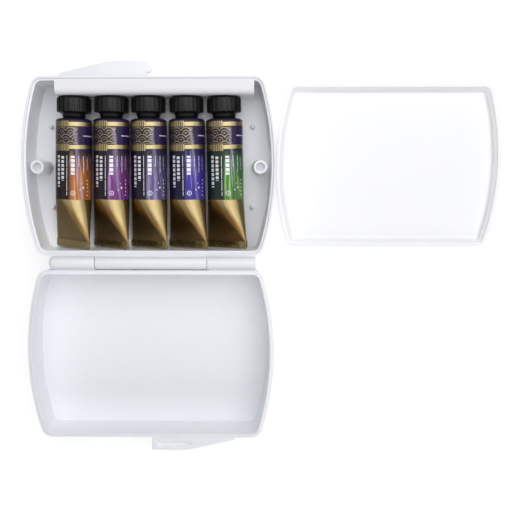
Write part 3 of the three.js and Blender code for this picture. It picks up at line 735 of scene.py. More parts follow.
def node(tree, kind, *values, **named):
    """Adds a node with its settings and links."""
    made = tree.nodes.new(kind)
    for name, value in named.items():
        if name[0].islower():
            setattr(made, name, value)
    for socket, value in zip([socket for socket in made.inputs if socket.enabled], values):
        give(tree, socket, value)
    for name, value in named.items():
        if name[0].isupper():
            give(tree, made.inputs[name.replace("_", " ")], value)
    return made


def material(name, **constants):
    """A new material: its data, its tree and its shader, with constants on the shader's own sockets."""
    made = bpy.data.materials.new(name)
    made.use_nodes = True
    tree = made.node_tree
    tree.nodes.clear()
    shader = node(tree, "ShaderNodeBsdfPrincipled", **constants)
    node(tree, "ShaderNodeOutputMaterial", Surface=shader)
    return made, tree, shader


MATHS = "ShaderNodeMath"
VECTOR = "ShaderNodeVectorMath"
POINT = "ShaderNodeCombineXYZ"
RANGE = "ShaderNodeMapRange"
NOISE = "ShaderNodeTexNoise"
MIX = "ShaderNodeMix"
print("middle grey in linear light:", round(linear("#808080")[0], 3))

# %% [markdown]
# ## Plastics, card and steel
#
# Moulded plastic is never a perfect mirror: its skin waves by a hundredth of a millimetre over some
# millimetres, and that is what softens the shine. One function makes such a surface from its colour, its
# roughness and the real size of its unevenness. A displaced mesh would need millions of faces for the same.


# %% Plain materials
def uneven(name, grain_mm, strength, depth_mm=0.02, detail=3.0, **constants):
    """A material whose fine unevenness has a real size in millimetres."""
    made, tree, shader = material(name, **constants)
    place = node(tree, "ShaderNodeTexCoord").outputs["Object"]
    grain = node(tree, NOISE, Vector=place, Scale=1 / (grain_mm * MM), Detail=detail)
    bump = node(tree, "ShaderNodeBump", Height=grain, Strength=strength, Distance=depth_mm * MM)
    give(tree, shader.inputs["Normal"], bump)
    return made


# Moulded polystyrene: cool white, a soft gloss, and a little light that passes under the skin
CASE_LOOK = dict(Base_Color=linear("#f3f4f8"), Roughness=0.32, IOR=1.5)
CASE_LOOK.update(Subsurface_Weight=0.06, Subsurface_Scale=1.2 * MM)
case_plastic = uneven("polystyrene_injection_moulded_white", 6.0, 0.25, **CASE_LOOK)

# Moulded polypropylene: a brighter, plainer white
TRAY_LOOK = dict(Base_Color=linear("#fcfcfd"), Roughness=0.3, IOR=1.5)
tray_plastic = uneven("polypropylene_injection_moulded_bright_white", 6.0, 0.2, **TRAY_LOOK)

# Folded card: matt, with a grain coarser than real fibres so that it shows
CARD_LOOK = dict(Base_Color=linear("#f3f3f5"), Roughness=0.62, IOR=1.5)
strip_card = uneven("card_folded_white", 0.4, 0.5, **CARD_LOOK)

# Moulded polyethylene: black with a satin shine, from the fine texture of the mould
CAP_LOOK = dict(Base_Color=linear("#08080a"), Roughness=0.4, IOR=1.5, Specular_IOR_Level=0.25)
cap_plastic = uneven("polyethylene_injection_moulded_black", 0.35, 0.25, **CAP_LOOK)

# Drawn steel: bright, with a slightly blurred shine
rod_steel, _, _ = material("steel_drawn_bright", Base_Color=linear("#b9bcc1"), Metallic=1.0, Roughness=0.28)
plain = (case_plastic, tray_plastic, strip_card, cap_plastic, rod_steel)
print("plain materials:", [surface.name for surface in plain])

# %% [markdown]
# ## Screw caps
#
# A cap is a smooth core with a narrow collar, and twenty ribs round the grip for the fingers. The core is
# turned. The ribs repeat, so Geometry Nodes places them: one rounded rib is instanced on as many points as
# there are ribs, each turned a little further. Realize Instances makes them real faces, which the export
# needs. The node tree's inputs are the count and the radius, so another cap only needs two numbers.

# %% Cores of the caps
CAP_COLLAR, CAP_GRIP, CAP_END = 23.2, 25.45, 32.8
CAP_RADIUS, CAP_EDGE, CAP_WALL_END = 7.6, 0.9, CAP_END - 1.2
# Radius and distance from the start of the collar, from the start of the grip, and back from the end
COLLAR_PROFILE = [(4.6, 0.3), (4.6, 0.1), (4.75, 0), (5.2, 0), (5.4, 0.2), (5.5, 1.2)]
GRIP_PROFILE = [(5.75, -0.4), (6.1, -0.05), (7.1, 0.03), (7.45, 0.2), (7.58, 0.6), (CAP_RADIUS, 1.2)]
END_PROFILE = [(5.9, 0), (5.7, 0.08), (3.0, 0.08)]


def cap_core(k):
    """Core and collar of a cap, open at the collar for the neck."""
    profile = [(radius, CAP_COLLAR + y) for radius, y in COLLAR_PROFILE]
    profile += [(radius, CAP_GRIP + y) for radius, y in GRIP_PROFILE] + [(CAP_RADIUS, CAP_WALL_END)]
    profile += upper_round(CAP_RADIUS, CAP_END, CAP_EDGE, 8)
    profile += [(radius, CAP_END - depth) for radius, depth in END_PROFILE]
    place = tube_place(k) @ Matrix.Translation((0, 0, TUBE_AXIS)) @ ALONG_Y
    return turned(profile, segments=80, matrix=place)


print("length of a cap, mm:", round(CAP_END - CAP_COLLAR, 1))

# %% Ribs by Geometry Nodes
RIB_HALF_WIDTH, RIB_ROOT, RIB_ROUND, PAD_STEPS = 0.86, 0.9, 0.42, 8
PAD_WIDE, PAD_HIGH = 1.12, 1.9  # a half circle that is cut off at 1 gives a flat pad with soft edges
# Distance from the start of the grip or back from the end, and how far the rib's crest has risen
RIB_START = [(0.1, -0.8), (0.2, -0.35), (0.4, -0.08), (0.7, 0.0)]
RIB_END = [(1.4, 0.0), (0.85, -0.08), (0.42, -0.3), (0.14, -0.7), (0.05, -1.1)]
RIB_STATIONS = [(CAP_GRIP + y, rise) for y, rise in RIB_START] + [(CAP_END - y, rise) for y, rise in RIB_END]


def rib_mesh():
    """One rib at the origin: a long pad that rounds off at both ends, standing out along +Z."""
    loops = []
    for y, rise in RIB_STATIONS:
        loop = [Vector((side * RIB_HALF_WIDTH, y, rise - RIB_ROOT)) for side in (1, -1)]
        for angle in (math.pi * i / PAD_STEPS for i in range(PAD_STEPS, -1, -1)):
            across = max(-1, min(1, PAD_WIDE * math.cos(angle)))
            height = rise - RIB_ROUND * (1 - min(1, PAD_HIGH * math.sin(angle)))
            loop.append(Vector((RIB_HALF_WIDTH * across, y, height)))
        loops.append(loop)
    return object_from("rib_source", skin(loops[::-1]), smooth_angle=50)


def ring_of_ribs(source, surface):
    """Geometry Nodes: the source instanced round the Y axis, then realised and given its material."""
    group = bpy.data.node_groups.new("ring_of_ribs", "GeometryNodeTree")
    count = group.interface.new_socket("Rib count", in_out="INPUT", socket_type="NodeSocketInt")
    radius = group.interface.new_socket("Grip radius", in_out="INPUT", socket_type="NodeSocketFloat")
    group.interface.new_socket("Geometry", in_out="OUTPUT", socket_type="NodeSocketGeometry")
    sizes = node(group, "NodeGroupInput").outputs
    line = node(group, "GeometryNodeMeshLine", mode="OFFSET", Count=sizes["Rib count"], Offset=(0, 0, 0))
    index = node(group, "GeometryNodeInputIndex")
    share = node(group, MATHS, index, sizes["Rib count"], operation="DIVIDE")
    turn = node(group, POINT, Y=node(group, MATHS, share, FULL, operation="MULTIPLY"))
    rib = node(group, "GeometryNodeObjectInfo", Object=source).outputs["Geometry"]
    lift = node(group, POINT, Z=sizes["Grip radius"])
    lifted = node(group, "GeometryNodeTransform", Geometry=rib, Translation=lift)
    placed = node(group, "GeometryNodeInstanceOnPoints", Points=line, Instance=lifted, Rotation=turn)
    real = node(group, "GeometryNodeRealizeInstances", Geometry=placed)
    painted = node(group, "GeometryNodeSetMaterial", Geometry=real, Material=surface)
    node(group, "NodeGroupOutput", Geometry=painted)
    return group, count.identifier, radius.identifier


rib_source = rib_mesh()
rib_tree = ring_of_ribs(rib_source, cap_plastic)
print("nodes in the tree of the ribs:", len(rib_tree[0].nodes))

# %% Caps in place
RIB_COUNT = 20
RIB_RING = 8.1


def cap_ribs(k, group, count_socket, radius_socket):
    """The ring of ribs of one cap, with its sizes set, made a mesh and put in place."""
    ring = in_scene(f"cap_ribs_{k + 1}", bpy.data.meshes.new("empty"))
    ribs = ring.modifiers.new("ribs", "NODES")
    ribs.node_group = group
    ribs[count_socket] = RIB_COUNT
    ribs[radius_socket] = RIB_RING * MM
    bake(ring)
    to_metres = Matrix.Scale(MM, 4)
    place = tube_place(k) @ Matrix.Translation((0, 0, TUBE_AXIS))
    ring.data.transform(to_metres @ place @ to_metres.inverted())
    return ring


cap_skins = [object_from(f"cap_skin_{k + 1}", cap_core(k), smooth_angle=40) for k in TUBES]
cap_rings = [cap_ribs(k, *rib_tree) for k in TUBES]
bpy.data.objects.remove(rib_source)
print("faces in a ring of ribs:", len(cap_rings[0].data.polygons))

# %% [markdown]
# ## Marks on the label
#
# The round part of a tube is printed with enamel over gold lacquer. A picture on the tube would do, but
# marks worked out from millimetres stay sharp at any distance: `around` is the place round the tube from
# its top line, `along` the place on its length. A mask is 1 where its mark is and 0 elsewhere.


# %% Masks for rectangles, broken lines and rounds
def rectangle(tree, around, along, across_span, along_span):
    """1 inside a rectangle of the label, given by its two spans."""
    bands = []
    for place, (low, high) in ((around, across_span), (along, along_span)):
        bands.append(node(tree, MATHS, place, (low + high) / 2, (high - low) / 2, operation="COMPARE"))
    return all_of(tree, *bands)


def about(middle, half):
    """The span of a half width on both sides of a middle."""
    return (middle - half, middle + half)


def all_of(tree, *masks):
    """1 where every mask is 1, and less where one of them is less."""
    joined = masks[0]
    for mask in masks[1:]:
        joined = node(tree, MATHS, joined, mask, operation="MULTIPLY")
    return joined


def any_of(tree, *masks):
    """The highest of several masks."""
    joined = masks[0]
    for mask in masks[1:]:
        joined = node(tree, MATHS, joined, mask, operation="MAXIMUM")
    return joined


def share_of_pitch(tree, place, pitch):
    """How far a place is through its pitch, from 0 to 1."""
    pitches = node(tree, MATHS, place, 1 / pitch, operation="MULTIPLY")
    return node(tree, MATHS, pitches, operation="FRACT")


def dashes(tree, place, pitch, share):
    """1 on the dashes of a broken line, which take up a share of each pitch."""
    return node(tree, MATHS, share_of_pitch(tree, place, pitch), share, operation="LESS_THAN")


def in_cell(tree, place, pitch):
    """The place within a repeated cell, counted from the cell's middle."""
    return node(tree, MATHS, share_of_pitch(tree, place, pitch), pitch, -pitch / 2, operation="MULTIPLY_ADD")


def distance_from(tree, around, along, middle=(0, 0)):
    """How far a place on the label is from a point, in millimetres."""
    offset = node(tree, VECTOR, node(tree, POINT, around, along), (*middle, 0), operation="SUBTRACT")
    return node(tree, VECTOR, offset, operation="LENGTH")


GIRTH = FULL * TUBE_RADIUS
print("girth of a tube, mm:", round(GIRTH, 1))

# %% [markdown]
# ## Hoops, ornament and plain marks
#
# Two gold hoops hold a band of dark purple. They are fluted left of a seam line and narrower right of it,
# and the upper one has a round bite. The ornament between them is a field of gold scales with an eye in
# each and fine grains between them, a traditional pattern. Below them come columns of plain bars, squares
# and dots in chalk white. Each mark is joined from a few simple masks.

# %% Hoops
HOOP_LINE = -0.75  # the seam line at which the hoops change
LEFT_PART, RIGHT_PART = (-GIRTH, HOOP_LINE), (HOOP_LINE, GIRTH)
WIDE_HOOPS = ((18.7, 21.35), (7.5, 10.6))
NARROW_HOOPS = ((18.9, 20.75), (8.35, 10.2))
HOOP_SLOPE = -0.03
FLUTE_PITCH, FLUTE_CREST, FLUTE_DEPTH = 0.95, 0.2, 0.85
BITE_PLACE, BITE_RADIUS = (-0.2, 21.9), 1.15


def hoop_mask(tree, around, along):
    """Two gold hoops, fluted left of their seam line and narrower right of it."""
    slanted = node(tree, MATHS, around, HOOP_SLOPE, along, operation="MULTIPLY_ADD")
    bands = [rectangle(tree, around, along, LEFT_PART, span) for span in WIDE_HOOPS]
    bands += [rectangle(tree, around, slanted, RIGHT_PART, span) for span in NARROW_HOOPS]
    wave = node(tree, MATHS, around, FULL / FLUTE_PITCH, operation="MULTIPLY")
    ripple = node(tree, MATHS, wave, operation="SINE")
    crest = node(tree, MATHS, ripple, FLUTE_CREST, operation="GREATER_THAN")
    left = node(tree, MATHS, around, HOOP_LINE, operation="LESS_THAN")
    flutes = node(tree, MATHS, all_of(tree, crest, left), -FLUTE_DEPTH, 1.0, operation="MULTIPLY_ADD")
    from_bite = distance_from(tree, around, along, BITE_PLACE)
    whole = node(tree, MATHS, from_bite, BITE_RADIUS, operation="GREATER_THAN")
    return all_of(tree, any_of(tree, *bands), flutes, whole)


print("widths of the fluted hoops, mm:", [round(high - low, 2) for low, high in WIDE_HOOPS])

# %% Ornament
ORNAMENT_RIGHT = 3.2
ORNAMENT_PART, ORNAMENT_SPAN = (-GIRTH, ORNAMENT_RIGHT), (11.0, 18.2)
RAILS, RAIL_HALF = (10.95, 18.25), 0.07
SCALE_RUN, SCALE_RISE = 4.7, 3.1
SCALE_RINGS = ((2.7, 0.16), (1.5, 0.12), (0.0, 0.45))  # radius and half width, the last one is the eye
GRAIN_PITCH, GRAIN_RADIUS, GRAIN_STRENGTH = 2 / 3, 0.22, 0.8  # the radius is a share of the pitch


def rings_mask(tree, distance, rings):
    """Rings given as radius and half width pairs; a radius of 0 gives a disc."""
    return any_of(tree, *[node(tree, MATHS, distance, *ring, operation="COMPARE") for ring in rings])


def ornament_mask(tree, around, along):
    """Gold scales with an eye in each, fine grains between them, and a rail above and below."""
    rise = node(tree, MATHS, along, 1 / SCALE_RISE, operation="MULTIPLY")
    row = node(tree, MATHS, rise, operation="FLOOR")
    staggered = node(tree, MATHS, row, SCALE_RUN / 2, around, operation="MULTIPLY_ADD")
    up = node(tree, MATHS, share_of_pitch(tree, along, SCALE_RISE), SCALE_RISE, operation="MULTIPLY")
    scales = rings_mask(tree, distance_from(tree, in_cell(tree, staggered, SCALE_RUN), up), SCALE_RINGS)
    flat = node(tree, POINT, around, along)
    cells = node(tree, "ShaderNodeTexVoronoi", Vector=flat, Scale=1 / GRAIN_PITCH, Randomness=1.0)
    grains = node(tree, MATHS, cells, GRAIN_RADIUS, operation="LESS_THAN")
    grains = node(tree, MATHS, grains, GRAIN_STRENGTH, operation="MULTIPLY")
    zone = rectangle(tree, around, along, ORNAMENT_PART, ORNAMENT_SPAN)
    rails = [rectangle(tree, around, along, ORNAMENT_PART, about(rail, RAIL_HALF)) for rail in RAILS]
    return any_of(tree, all_of(tree, any_of(tree, scales, grains), zone), *rails)


print("scales round a tube:", round(GIRTH / SCALE_RUN, 1))

# %% Plain marks
# Bars as place round the tube, half width, lower and upper end, dash pitch and the dash's share of it
BARS = [
    (-6.6, 0.8, -9.4, 5.4, 2.05, 0.7),
    (-4.0, 0.75, -6.4, 5.4, 1.85, 0.68),
    (-1.75, 0.14, -13.4, 5.2, 5.6, 0.93),
    (1.1, 0.95, -3.6, 5.2, 2.1, 0.8),
    (3.9, 0.13, 0.2, 5.2, 2.2, 0.88),
    (6.4, 0.13, -2.6, 5.2, 3.1, 0.9),
    (8.6, 0.1, -1.2, 5.2, 2.4, 0.86),
]
TARGET_PLACE, TARGET_RINGS = (1.2, -12.2), ((1.0, 0.14), (0.0, 0.3))
DOT_LINE, DOT_PITCH, DOT_RINGS, DOT_SPAN = 8.7, 1.75, ((0.0, 0.36),), (-14.0, -5.25)
SQUARES = ((6.2, -9.6, 0.42), (4.6, -10.6, 0.28), (5.5, -7.6, 0.2))
TAG_SPAN, TAG_LINE, TAG_PITCH, TAG_SHARE = (6.0, 12.5), about(14.6, 0.26), 0.8, 0.72


def plain_marks(tree, around, along):
    """Bars, a ringed dot, squares, a row of dots and a tag."""
    marks = []
    for middle, half, low, high, pitch, share in BARS:
        bar = rectangle(tree, around, along, about(middle, half), (low, high))
        marks.append(all_of(tree, bar, dashes(tree, along, pitch, share)))
    marks.append(rings_mask(tree, distance_from(tree, around, along, TARGET_PLACE), TARGET_RINGS))
    for middle, height, half in SQUARES:
        marks.append(rectangle(tree, around, along, about(middle, half), about(height, half)))
    from_dot = distance_from(tree, around, in_cell(tree, along, DOT_PITCH), (DOT_LINE, 0))
    dot_row = rectangle(tree, around, along, about(DOT_LINE, DOT_PITCH), DOT_SPAN)
    marks.append(all_of(tree, rings_mask(tree, from_dot, DOT_RINGS), dot_row))
    tag = rectangle(tree, around, along, TAG_SPAN, TAG_LINE)
    marks.append(all_of(tree, tag, dashes(tree, around, TAG_PITCH, TAG_SHARE)))
    return any_of(tree, *marks)


print("columns of bars:", len(BARS))

# %% [markdown]
# ## Printed and lacquered aluminium
#
# A tube is drawn up from a slug of soft aluminium, lacquered gold and printed. The enamel is a field of the
# paint's colour, with streaks of painted highlight and painted shade that fan out from a point above the
# label, and a dark panel on its left.
# The bare tail shows the lacquer, with painted shade: a browner gold left of its crease. It also shows long
# faint marks of drawing. One shader carries it all, because the masks decide only between enamel and metal,
# and edges stay exact.

# %% Colours and sizes of the print
# The second gold is painted shade, for the tail left of its crease
GOLD, GOLD_PAINTED_SHADE, HOOP_GOLD = "#91815b", "#6d522e", "#9b8e66"
PURPLE, ORNAMENT_GROUND = "#271b42", "#231a30"
# The second colour is a painted sheen, a painted highlight along the enamel
CHALK, PAINTED_SHEEN = "#efecf2", "#a395b8"
# For each paint: its name, the field's colour, the field's top, the colour of the painted highlights in the
# streaks and the dark panel
INKS = [
    ("orange", "#a3602b", "#4b3a4a", "#e8b384", "#1a100e"),
    ("magenta", "#6a2a70", "#44364f", "#c79bd6", "#130b1a"),
    ("grey_violet", "#51456f", "#3b3853", "#a79cc9", "#0f0d20"),
    ("blue_violet", "#352c8c", "#34306e", "#9a92ea", "#100e30"),
    ("green", "#437632", "#2c5148", "#c2e48c", "#16281f"),
]
SEED_STEP = 3.0
TOP_TURN = 0.25  # the top line is a quarter turn on from where U starts
LABEL_END = -15.3
FIELD_TOP = 7.6
SHEEN_TOP = 18.2
FAN_MIDDLE, FAN_SOURCE = 1.6, 24.0  # the streaks fan out from this place, above the label
# Sizes of the patterns in millimetres, across the tube and along it. Real marks of drawing are finer than
# a hair, which is too fine for the picture, so they are drawn as coarse as they need to show.
CLOUD_SIZE, TINT_SIZE, DRAWN_SIZE = (4.545, 8.333), (10.0, 11.11), (1.25, 50.0)
# The fan is counted across its slope: its streaks are 1 mm wide where they are 26 mm from their source
STREAK_WIDTH, STREAK_REACH, STREAK_LENGTH = 1.0, 26.0, 20.0
STREAK_SIZE = (STREAK_WIDTH / STREAK_REACH, STREAK_LENGTH)
CLOUD_SEED, TINT_SEED = 7.0, 3.0
CLOUD_DRIFT, SHEEN_DRIFT = 14.0, 3.0  # how far the clouds move the field's top and the sheen, mm
SHEEN_START, SHEEN_LEAN, SHEEN_MIDDLE = 18.0, 0.085, 2.2
CREASE_LEAN, CREASE_START = 0.52, -3.0
DENT_SIZE, WEAR_SIZE = 8 * MM, 1.6 * MM
# Factor and start, for how metallic gold is, how wear roughens it and how much the bare tail is dented
GOLD_METALLIC, WEAR_ROUGHNESS, DENT_STRENGTH = (0.85, 0.1), (0.04, 0.27), (0.7, 0.3)
DRAWN_STRENGTH, BUMP_STRENGTH, BUMP_DEPTH = 0.35, 0.6, 0.55 * MM
# Ramps between two places in millimetres, or two levels of a noise, and the strengths at both
# Of these, the middle ramp is painted shade: it darkens the field towards the hoop
FIELD_RAMP, PAINTED_SHADE_UNDER_HOOP, PANEL_RAMP = (-6.0, 6.0, 0.0, 1.0), (3.0, 7.2, 1.0, 0.3), (-1.0, 0.0, 1.0, 0.0)
# Of these, the first two paint light and shade along the streaks, and the third keeps the painted glints near
# the fan's middle
PAINTED_LIGHT_SHADE_RAMP, PAINTED_GLINT_RAMP, FAN_RAMP = (0.28, 0.5, 0.55, 1.1), (0.52, 0.7, 0.0, 0.85), (0.05, 0.26, 1.0, 0.25)
SHEEN_RAMP, FLICKER_RAMP = (0.0, 1.3, 0.6, 0.0), (0.35, 0.6, 0.4, 1.0)
# The crease ramp places the painted shade left of the tail's crease
TINT_RAMP, CREASE_PAINTED_SHADE = (0.38, 0.62, 0.6, 1.0), (-3.0, 0.5, 1.0, 0.0)
ORNAMENT_STRENGTH, MARK_STRENGTH = 0.75, 0.92
print("inks:", [ink[0] for ink in INKS])


# %% Field with its streaks
def stretched_noise(tree, across, along, size, seed, detail, distortion=0.0):
    """Noise whose patches have a size across the tube and another along it."""
    x = node(tree, MATHS, across, 1 / size[0], operation="MULTIPLY")
    y = node(tree, MATHS, along, 1 / size[1], operation="MULTIPLY")
    place = node(tree, POINT, x, y, seed)
    return node(tree, NOISE, Vector=place, Scale=1.0, Detail=detail, Distortion=distortion)


def about_half(tree, noise, reach, start):
    """A place moved by how far a noise is from a half, over a reach in millimetres."""
    off = node(tree, MATHS, noise, 0.5, operation="SUBTRACT")
    return node(tree, MATHS, off, reach, start, operation="MULTIPLY_ADD")


def field_ink(tree, around, along, fan, streaks, clouds, ink):
    """The paint's colour with painted highlights and painted shade along its streaks, darker at the top,
    painted shade towards the hoop, and darker on the panel.
    """
    _, colour, top, streak, panel = ink
    level = about_half(tree, clouds, CLOUD_DRIFT, along)
    high = node(tree, RANGE, level, *FIELD_RAMP)
    field = node(tree, MIX, high, linear(colour), linear(top), data_type="RGBA")
    # Painted light and shade: the streaks lighten and darken the field
    painted_light_and_shade = node(tree, RANGE, streaks, *PAINTED_LIGHT_SHADE_RAMP)
    field = node(tree, VECTOR, field, painted_light_and_shade, operation="SCALE")
    # Painted highlights: glints in the streaks' colour, strongest in the middle of the fan
    painted_glints = node(tree, RANGE, streaks, *PAINTED_GLINT_RAMP)
    slope = node(tree, MATHS, fan, operation="ABSOLUTE")
    middle = node(tree, RANGE, slope, *FAN_RAMP)
    field = node(tree, MIX, all_of(tree, painted_glints, middle), field, linear(streak), data_type="RGBA")
    # Painted shade under the hoop: the field darkens towards the hoop above it
    painted_hoop_shade = node(tree, RANGE, along, *PAINTED_SHADE_UNDER_HOOP)
    field = node(tree, VECTOR, field, painted_hoop_shade, operation="SCALE")
    side = node(tree, RANGE, around, *PANEL_RAMP)
    return node(tree, MIX, side, field, linear(panel), data_type="RGBA")


print("streaks across a slope of 1:", round(STREAK_REACH / STREAK_WIDTH))


# %% Sheen and enamel
def painted_sheen_mask(tree, around, along, streaks, clouds):
    """A painted sheen: a soft painted highlight from the upper hoop down to the label's end."""
    below = node(tree, MATHS, SHEEN_START, along, operation="SUBTRACT")
    drift = node(tree, MATHS, below, SHEEN_LEAN, SHEEN_MIDDLE, operation="MULTIPLY_ADD")
    drift = about_half(tree, clouds, SHEEN_DRIFT, drift)
    off = node(tree, MATHS, node(tree, MATHS, around, drift, operation="SUBTRACT"), operation="ABSOLUTE")
    fade = node(tree, RANGE, off, *SHEEN_RAMP)
    flicker = node(tree, RANGE, streaks, *FLICKER_RAMP)
    return all_of(tree, fade, flicker, node(tree, MATHS, along, SHEEN_TOP, operation="LESS_THAN"))


def enamel_ink(tree, around, along, ink, seed):
    """Everything that is printed, from the band between the hoops to the plain marks."""
    across = node(tree, MATHS, around, FAN_MIDDLE, operation="SUBTRACT")
    below = node(tree, MATHS, FAN_SOURCE, along, operation="SUBTRACT")
    fan = node(tree, MATHS, across, below, operation="DIVIDE")
    streaks = stretched_noise(tree, fan, along, STREAK_SIZE, seed, 4.0, 0.4)
    clouds = stretched_noise(tree, around, along, CLOUD_SIZE, seed + CLOUD_SEED, 2.0)
    field = field_ink(tree, around, along, fan, streaks, clouds, ink)
    ornament_side = node(tree, MATHS, around, ORNAMENT_RIGHT, operation="LESS_THAN")
    band = node(tree, MIX, ornament_side, linear(PURPLE), linear(ORNAMENT_GROUND), data_type="RGBA")
    below_hoop = node(tree, MATHS, along, FIELD_TOP, operation="LESS_THAN")
    enamel = node(tree, MIX, below_hoop, band, field, data_type="RGBA")
    # Painted highlight: a sheen lightens the enamel along one line of the tube
    sheen = painted_sheen_mask(tree, around, along, streaks, clouds)
    enamel = node(tree, MIX, sheen, enamel, linear(PAINTED_SHEEN), data_type="RGBA")
    marks = node(tree, MATHS, plain_marks(tree, around, along), MARK_STRENGTH, operation="MULTIPLY")
    return node(tree, MIX, marks, enamel, linear(CHALK), data_type="RGBA")


sheen_end = SHEEN_MIDDLE + SHEEN_LEAN * (SHEEN_START - LABEL_END)
print("middle of the sheen at the label's end, mm:", round(sheen_end, 1))


# %% Lacquer and relief
def lacquer(tree, around, along, bare, seed):
    """Gold lacquer with painted shade, a browner gold left of the tail's crease, and a paler gold on the
    hoops.
    """
    patches = stretched_noise(tree, around, along, TINT_SIZE, seed + TINT_SEED, 2.0)
    tint = node(tree, RANGE, patches, *TINT_RAMP)
    below = node(tree, MATHS, LABEL_END, along, operation="SUBTRACT")
    crease = node(tree, MATHS, below, CREASE_LEAN, CREASE_START, operation="MULTIPLY_ADD")
    off_crease = node(tree, MATHS, around, crease, operation="SUBTRACT")
    # Painted shade: browner gold left of the tail's crease, in random patches
    crease_shade = node(tree, RANGE, off_crease, *CREASE_PAINTED_SHADE)
    tail = node(tree, MIX, all_of(tree, tint, crease_shade), linear(GOLD), linear(GOLD_PAINTED_SHADE), data_type="RGBA")
    return node(tree, MIX, bare, linear(HOOP_GOLD), tail, data_type="RGBA")


def relief(tree, place, around, along, bare, seed):
    """Soft dents, stronger on the bare tail, and the long marks of drawing on the tail alone."""
    dents = node(tree, NOISE, Vector=place, Scale=1 / DENT_SIZE, Detail=2.0)
    dents = all_of(tree, dents, node(tree, MATHS, bare, *DENT_STRENGTH, operation="MULTIPLY_ADD"))
    drawn = all_of(tree, stretched_noise(tree, around, along, DRAWN_SIZE, seed, 3.0), bare)
    return node(tree, MATHS, drawn, DRAWN_STRENGTH, dents, operation="MULTIPLY_ADD")


print("dents and wear of the lacquer, mm:", round(DENT_SIZE / MM, 1), round(WEAR_SIZE / MM, 1))


# %% Tube materials
def tube_material(ink, seed):
    """Gold-lacquered tube with its printed enamel, as one shader."""
    name = f"aluminium_lacquered_printed_{ink[0]}"
    made, tree, shader = material(name, Specular_IOR_Level=0.25)
    flat = node(tree, "ShaderNodeSeparateXYZ", node(tree, "ShaderNodeUVMap", uv_map="UVMap"))
    from_top = node(tree, MATHS, flat.outputs["X"], TOP_TURN, operation="ADD")
    turn = node(tree, MATHS, from_top, operation="FRACT")
    around = node(tree, MATHS, turn, -GIRTH, GIRTH / 2, operation="MULTIPLY_ADD")
    along = node(tree, MATHS, flat.outputs["Y"], CENTIMETRE, operation="MULTIPLY")
    place = node(tree, "ShaderNodeTexCoord").outputs["Object"]

    ornament = node(tree, MATHS, ornament_mask(tree, around, along), ORNAMENT_STRENGTH, operation="MULTIPLY")
    bare = node(tree, MATHS, along, LABEL_END, operation="LESS_THAN")
    gold = any_of(tree, bare, hoop_mask(tree, around, along), ornament)
    enamel = enamel_ink(tree, around, along, ink, seed)
    metal = lacquer(tree, around, along, bare, seed)
    wear = node(tree, NOISE, Vector=place, Scale=1 / WEAR_SIZE, Detail=4.0)
    height = relief(tree, place, around, along, bare, seed)
    bump = node(tree, "ShaderNodeBump", Height=height, Strength=BUMP_STRENGTH, Distance=BUMP_DEPTH)

    metallic = node(tree, MATHS, gold, *GOLD_METALLIC, operation="MULTIPLY_ADD")
    roughness = node(tree, MATHS, wear, *WEAR_ROUGHNESS, operation="MULTIPLY_ADD")

    give(tree, shader.inputs["Base Color"], node(tree, MIX, gold, enamel, metal, data_type="RGBA"))
    give(tree, shader.inputs["Metallic"], metallic)
    give(tree, shader.inputs["Roughness"], roughness)
    give(tree, shader.inputs["Normal"], bump)
    return made


tube_materials = [tube_material(ink, SEED_STEP * k) for k, ink in enumerate(INKS)]

# Pressed lacquered aluminium: the same gold, with creases that break up its shine
SEAM_LOOK = dict(Base_Color=linear(GOLD), Metallic=0.95, Roughness=0.26)
seam_gold = uneven("aluminium_gold_lacquered_pressed", 5.0, 0.8, depth_mm=0.6, detail=2.0, **SEAM_LOOK)

# Moist watercolour: a wet, even colour inside the tube
PAINTS = ["#e8641b", "#9c1f6b", "#6f6484", "#4a3fa0", "#3e9a4f"]
paints = []
for ink, colour in zip(INKS, PAINTS):
    paints.append(material(f"watercolour_moist_{ink[0]}", Base_Color=linear(colour), Roughness=0.35)[0])
print("tube materials:", [surface.name for surface in tube_materials])

# %% [markdown]
# ## Giving each piece its material and its body
#
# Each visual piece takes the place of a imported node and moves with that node's body, so the lid swings, the
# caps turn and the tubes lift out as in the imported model. Small pieces such as latches and seams add to a
# node and replace nothing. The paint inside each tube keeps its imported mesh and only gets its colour.


# %% Dressing the pieces
def finish_piece(piece, body, stands_for, surface):
    """Material, body and replaced node of one piece."""
    piece.data.materials.clear()
    piece.data.materials.append(surface)
    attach(piece, body)
    if stands_for:
        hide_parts(stands_for)


finish_piece(base_skin, "base", "base_shell", case_plastic)
finish_piece(base_latch, "base", None, case_plastic)
finish_piece(base_nub, "base", None, case_plastic)
finish_piece(lid_skin, "lid", "lid_shell", case_plastic)
finish_piece(lid_latch, "lid", None, case_plastic)
finish_piece(rod_skin, "base", "hinge_rod", rod_steel)
finish_piece(strip_skin, "base", "spacer_strip", strip_card)
finish_piece(tray_skin, "tray", "mixing_tray", tray_plastic)
for k in TUBES:
    finish_piece(tube_skins[k], f"tube_body_{k + 1}", f"tube_{k + 1}", tube_materials[k])
    finish_piece(seam_skins[k], f"tube_body_{k + 1}", None, seam_gold)
    finish_piece(cap_skins[k], f"cap_body_{k + 1}", f"cap_{k + 1}", cap_plastic)
    finish_piece(cap_rings[k], f"cap_body_{k + 1}", None, cap_plastic)
    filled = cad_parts[f"paint_{k + 1}"]
    filled.data.materials.clear()
    filled.data.materials.append(paints[k])

# %% [markdown]
# ## Table
#
# The table is a plain pale sheet. To rays from the camera, in gloss and through glass it is white paper
# that fades to pure white with distance, so that it has no horizon. To all other rays it is a plain pale
# grey that sends back only the lamps' light, so that it lights the box no more than a real table does.

# %% Table
TABLE_HALF, TABLE_DROP = 3.0, 0.0002  # in metres
TABLE_SEEN, TABLE_UNSEEN = "#b4b4b6", "#e6e6e9"
GLOW_RAMP = (0.25, 1.0, 0.7, 1.0)  # two distances in metres and the strengths there


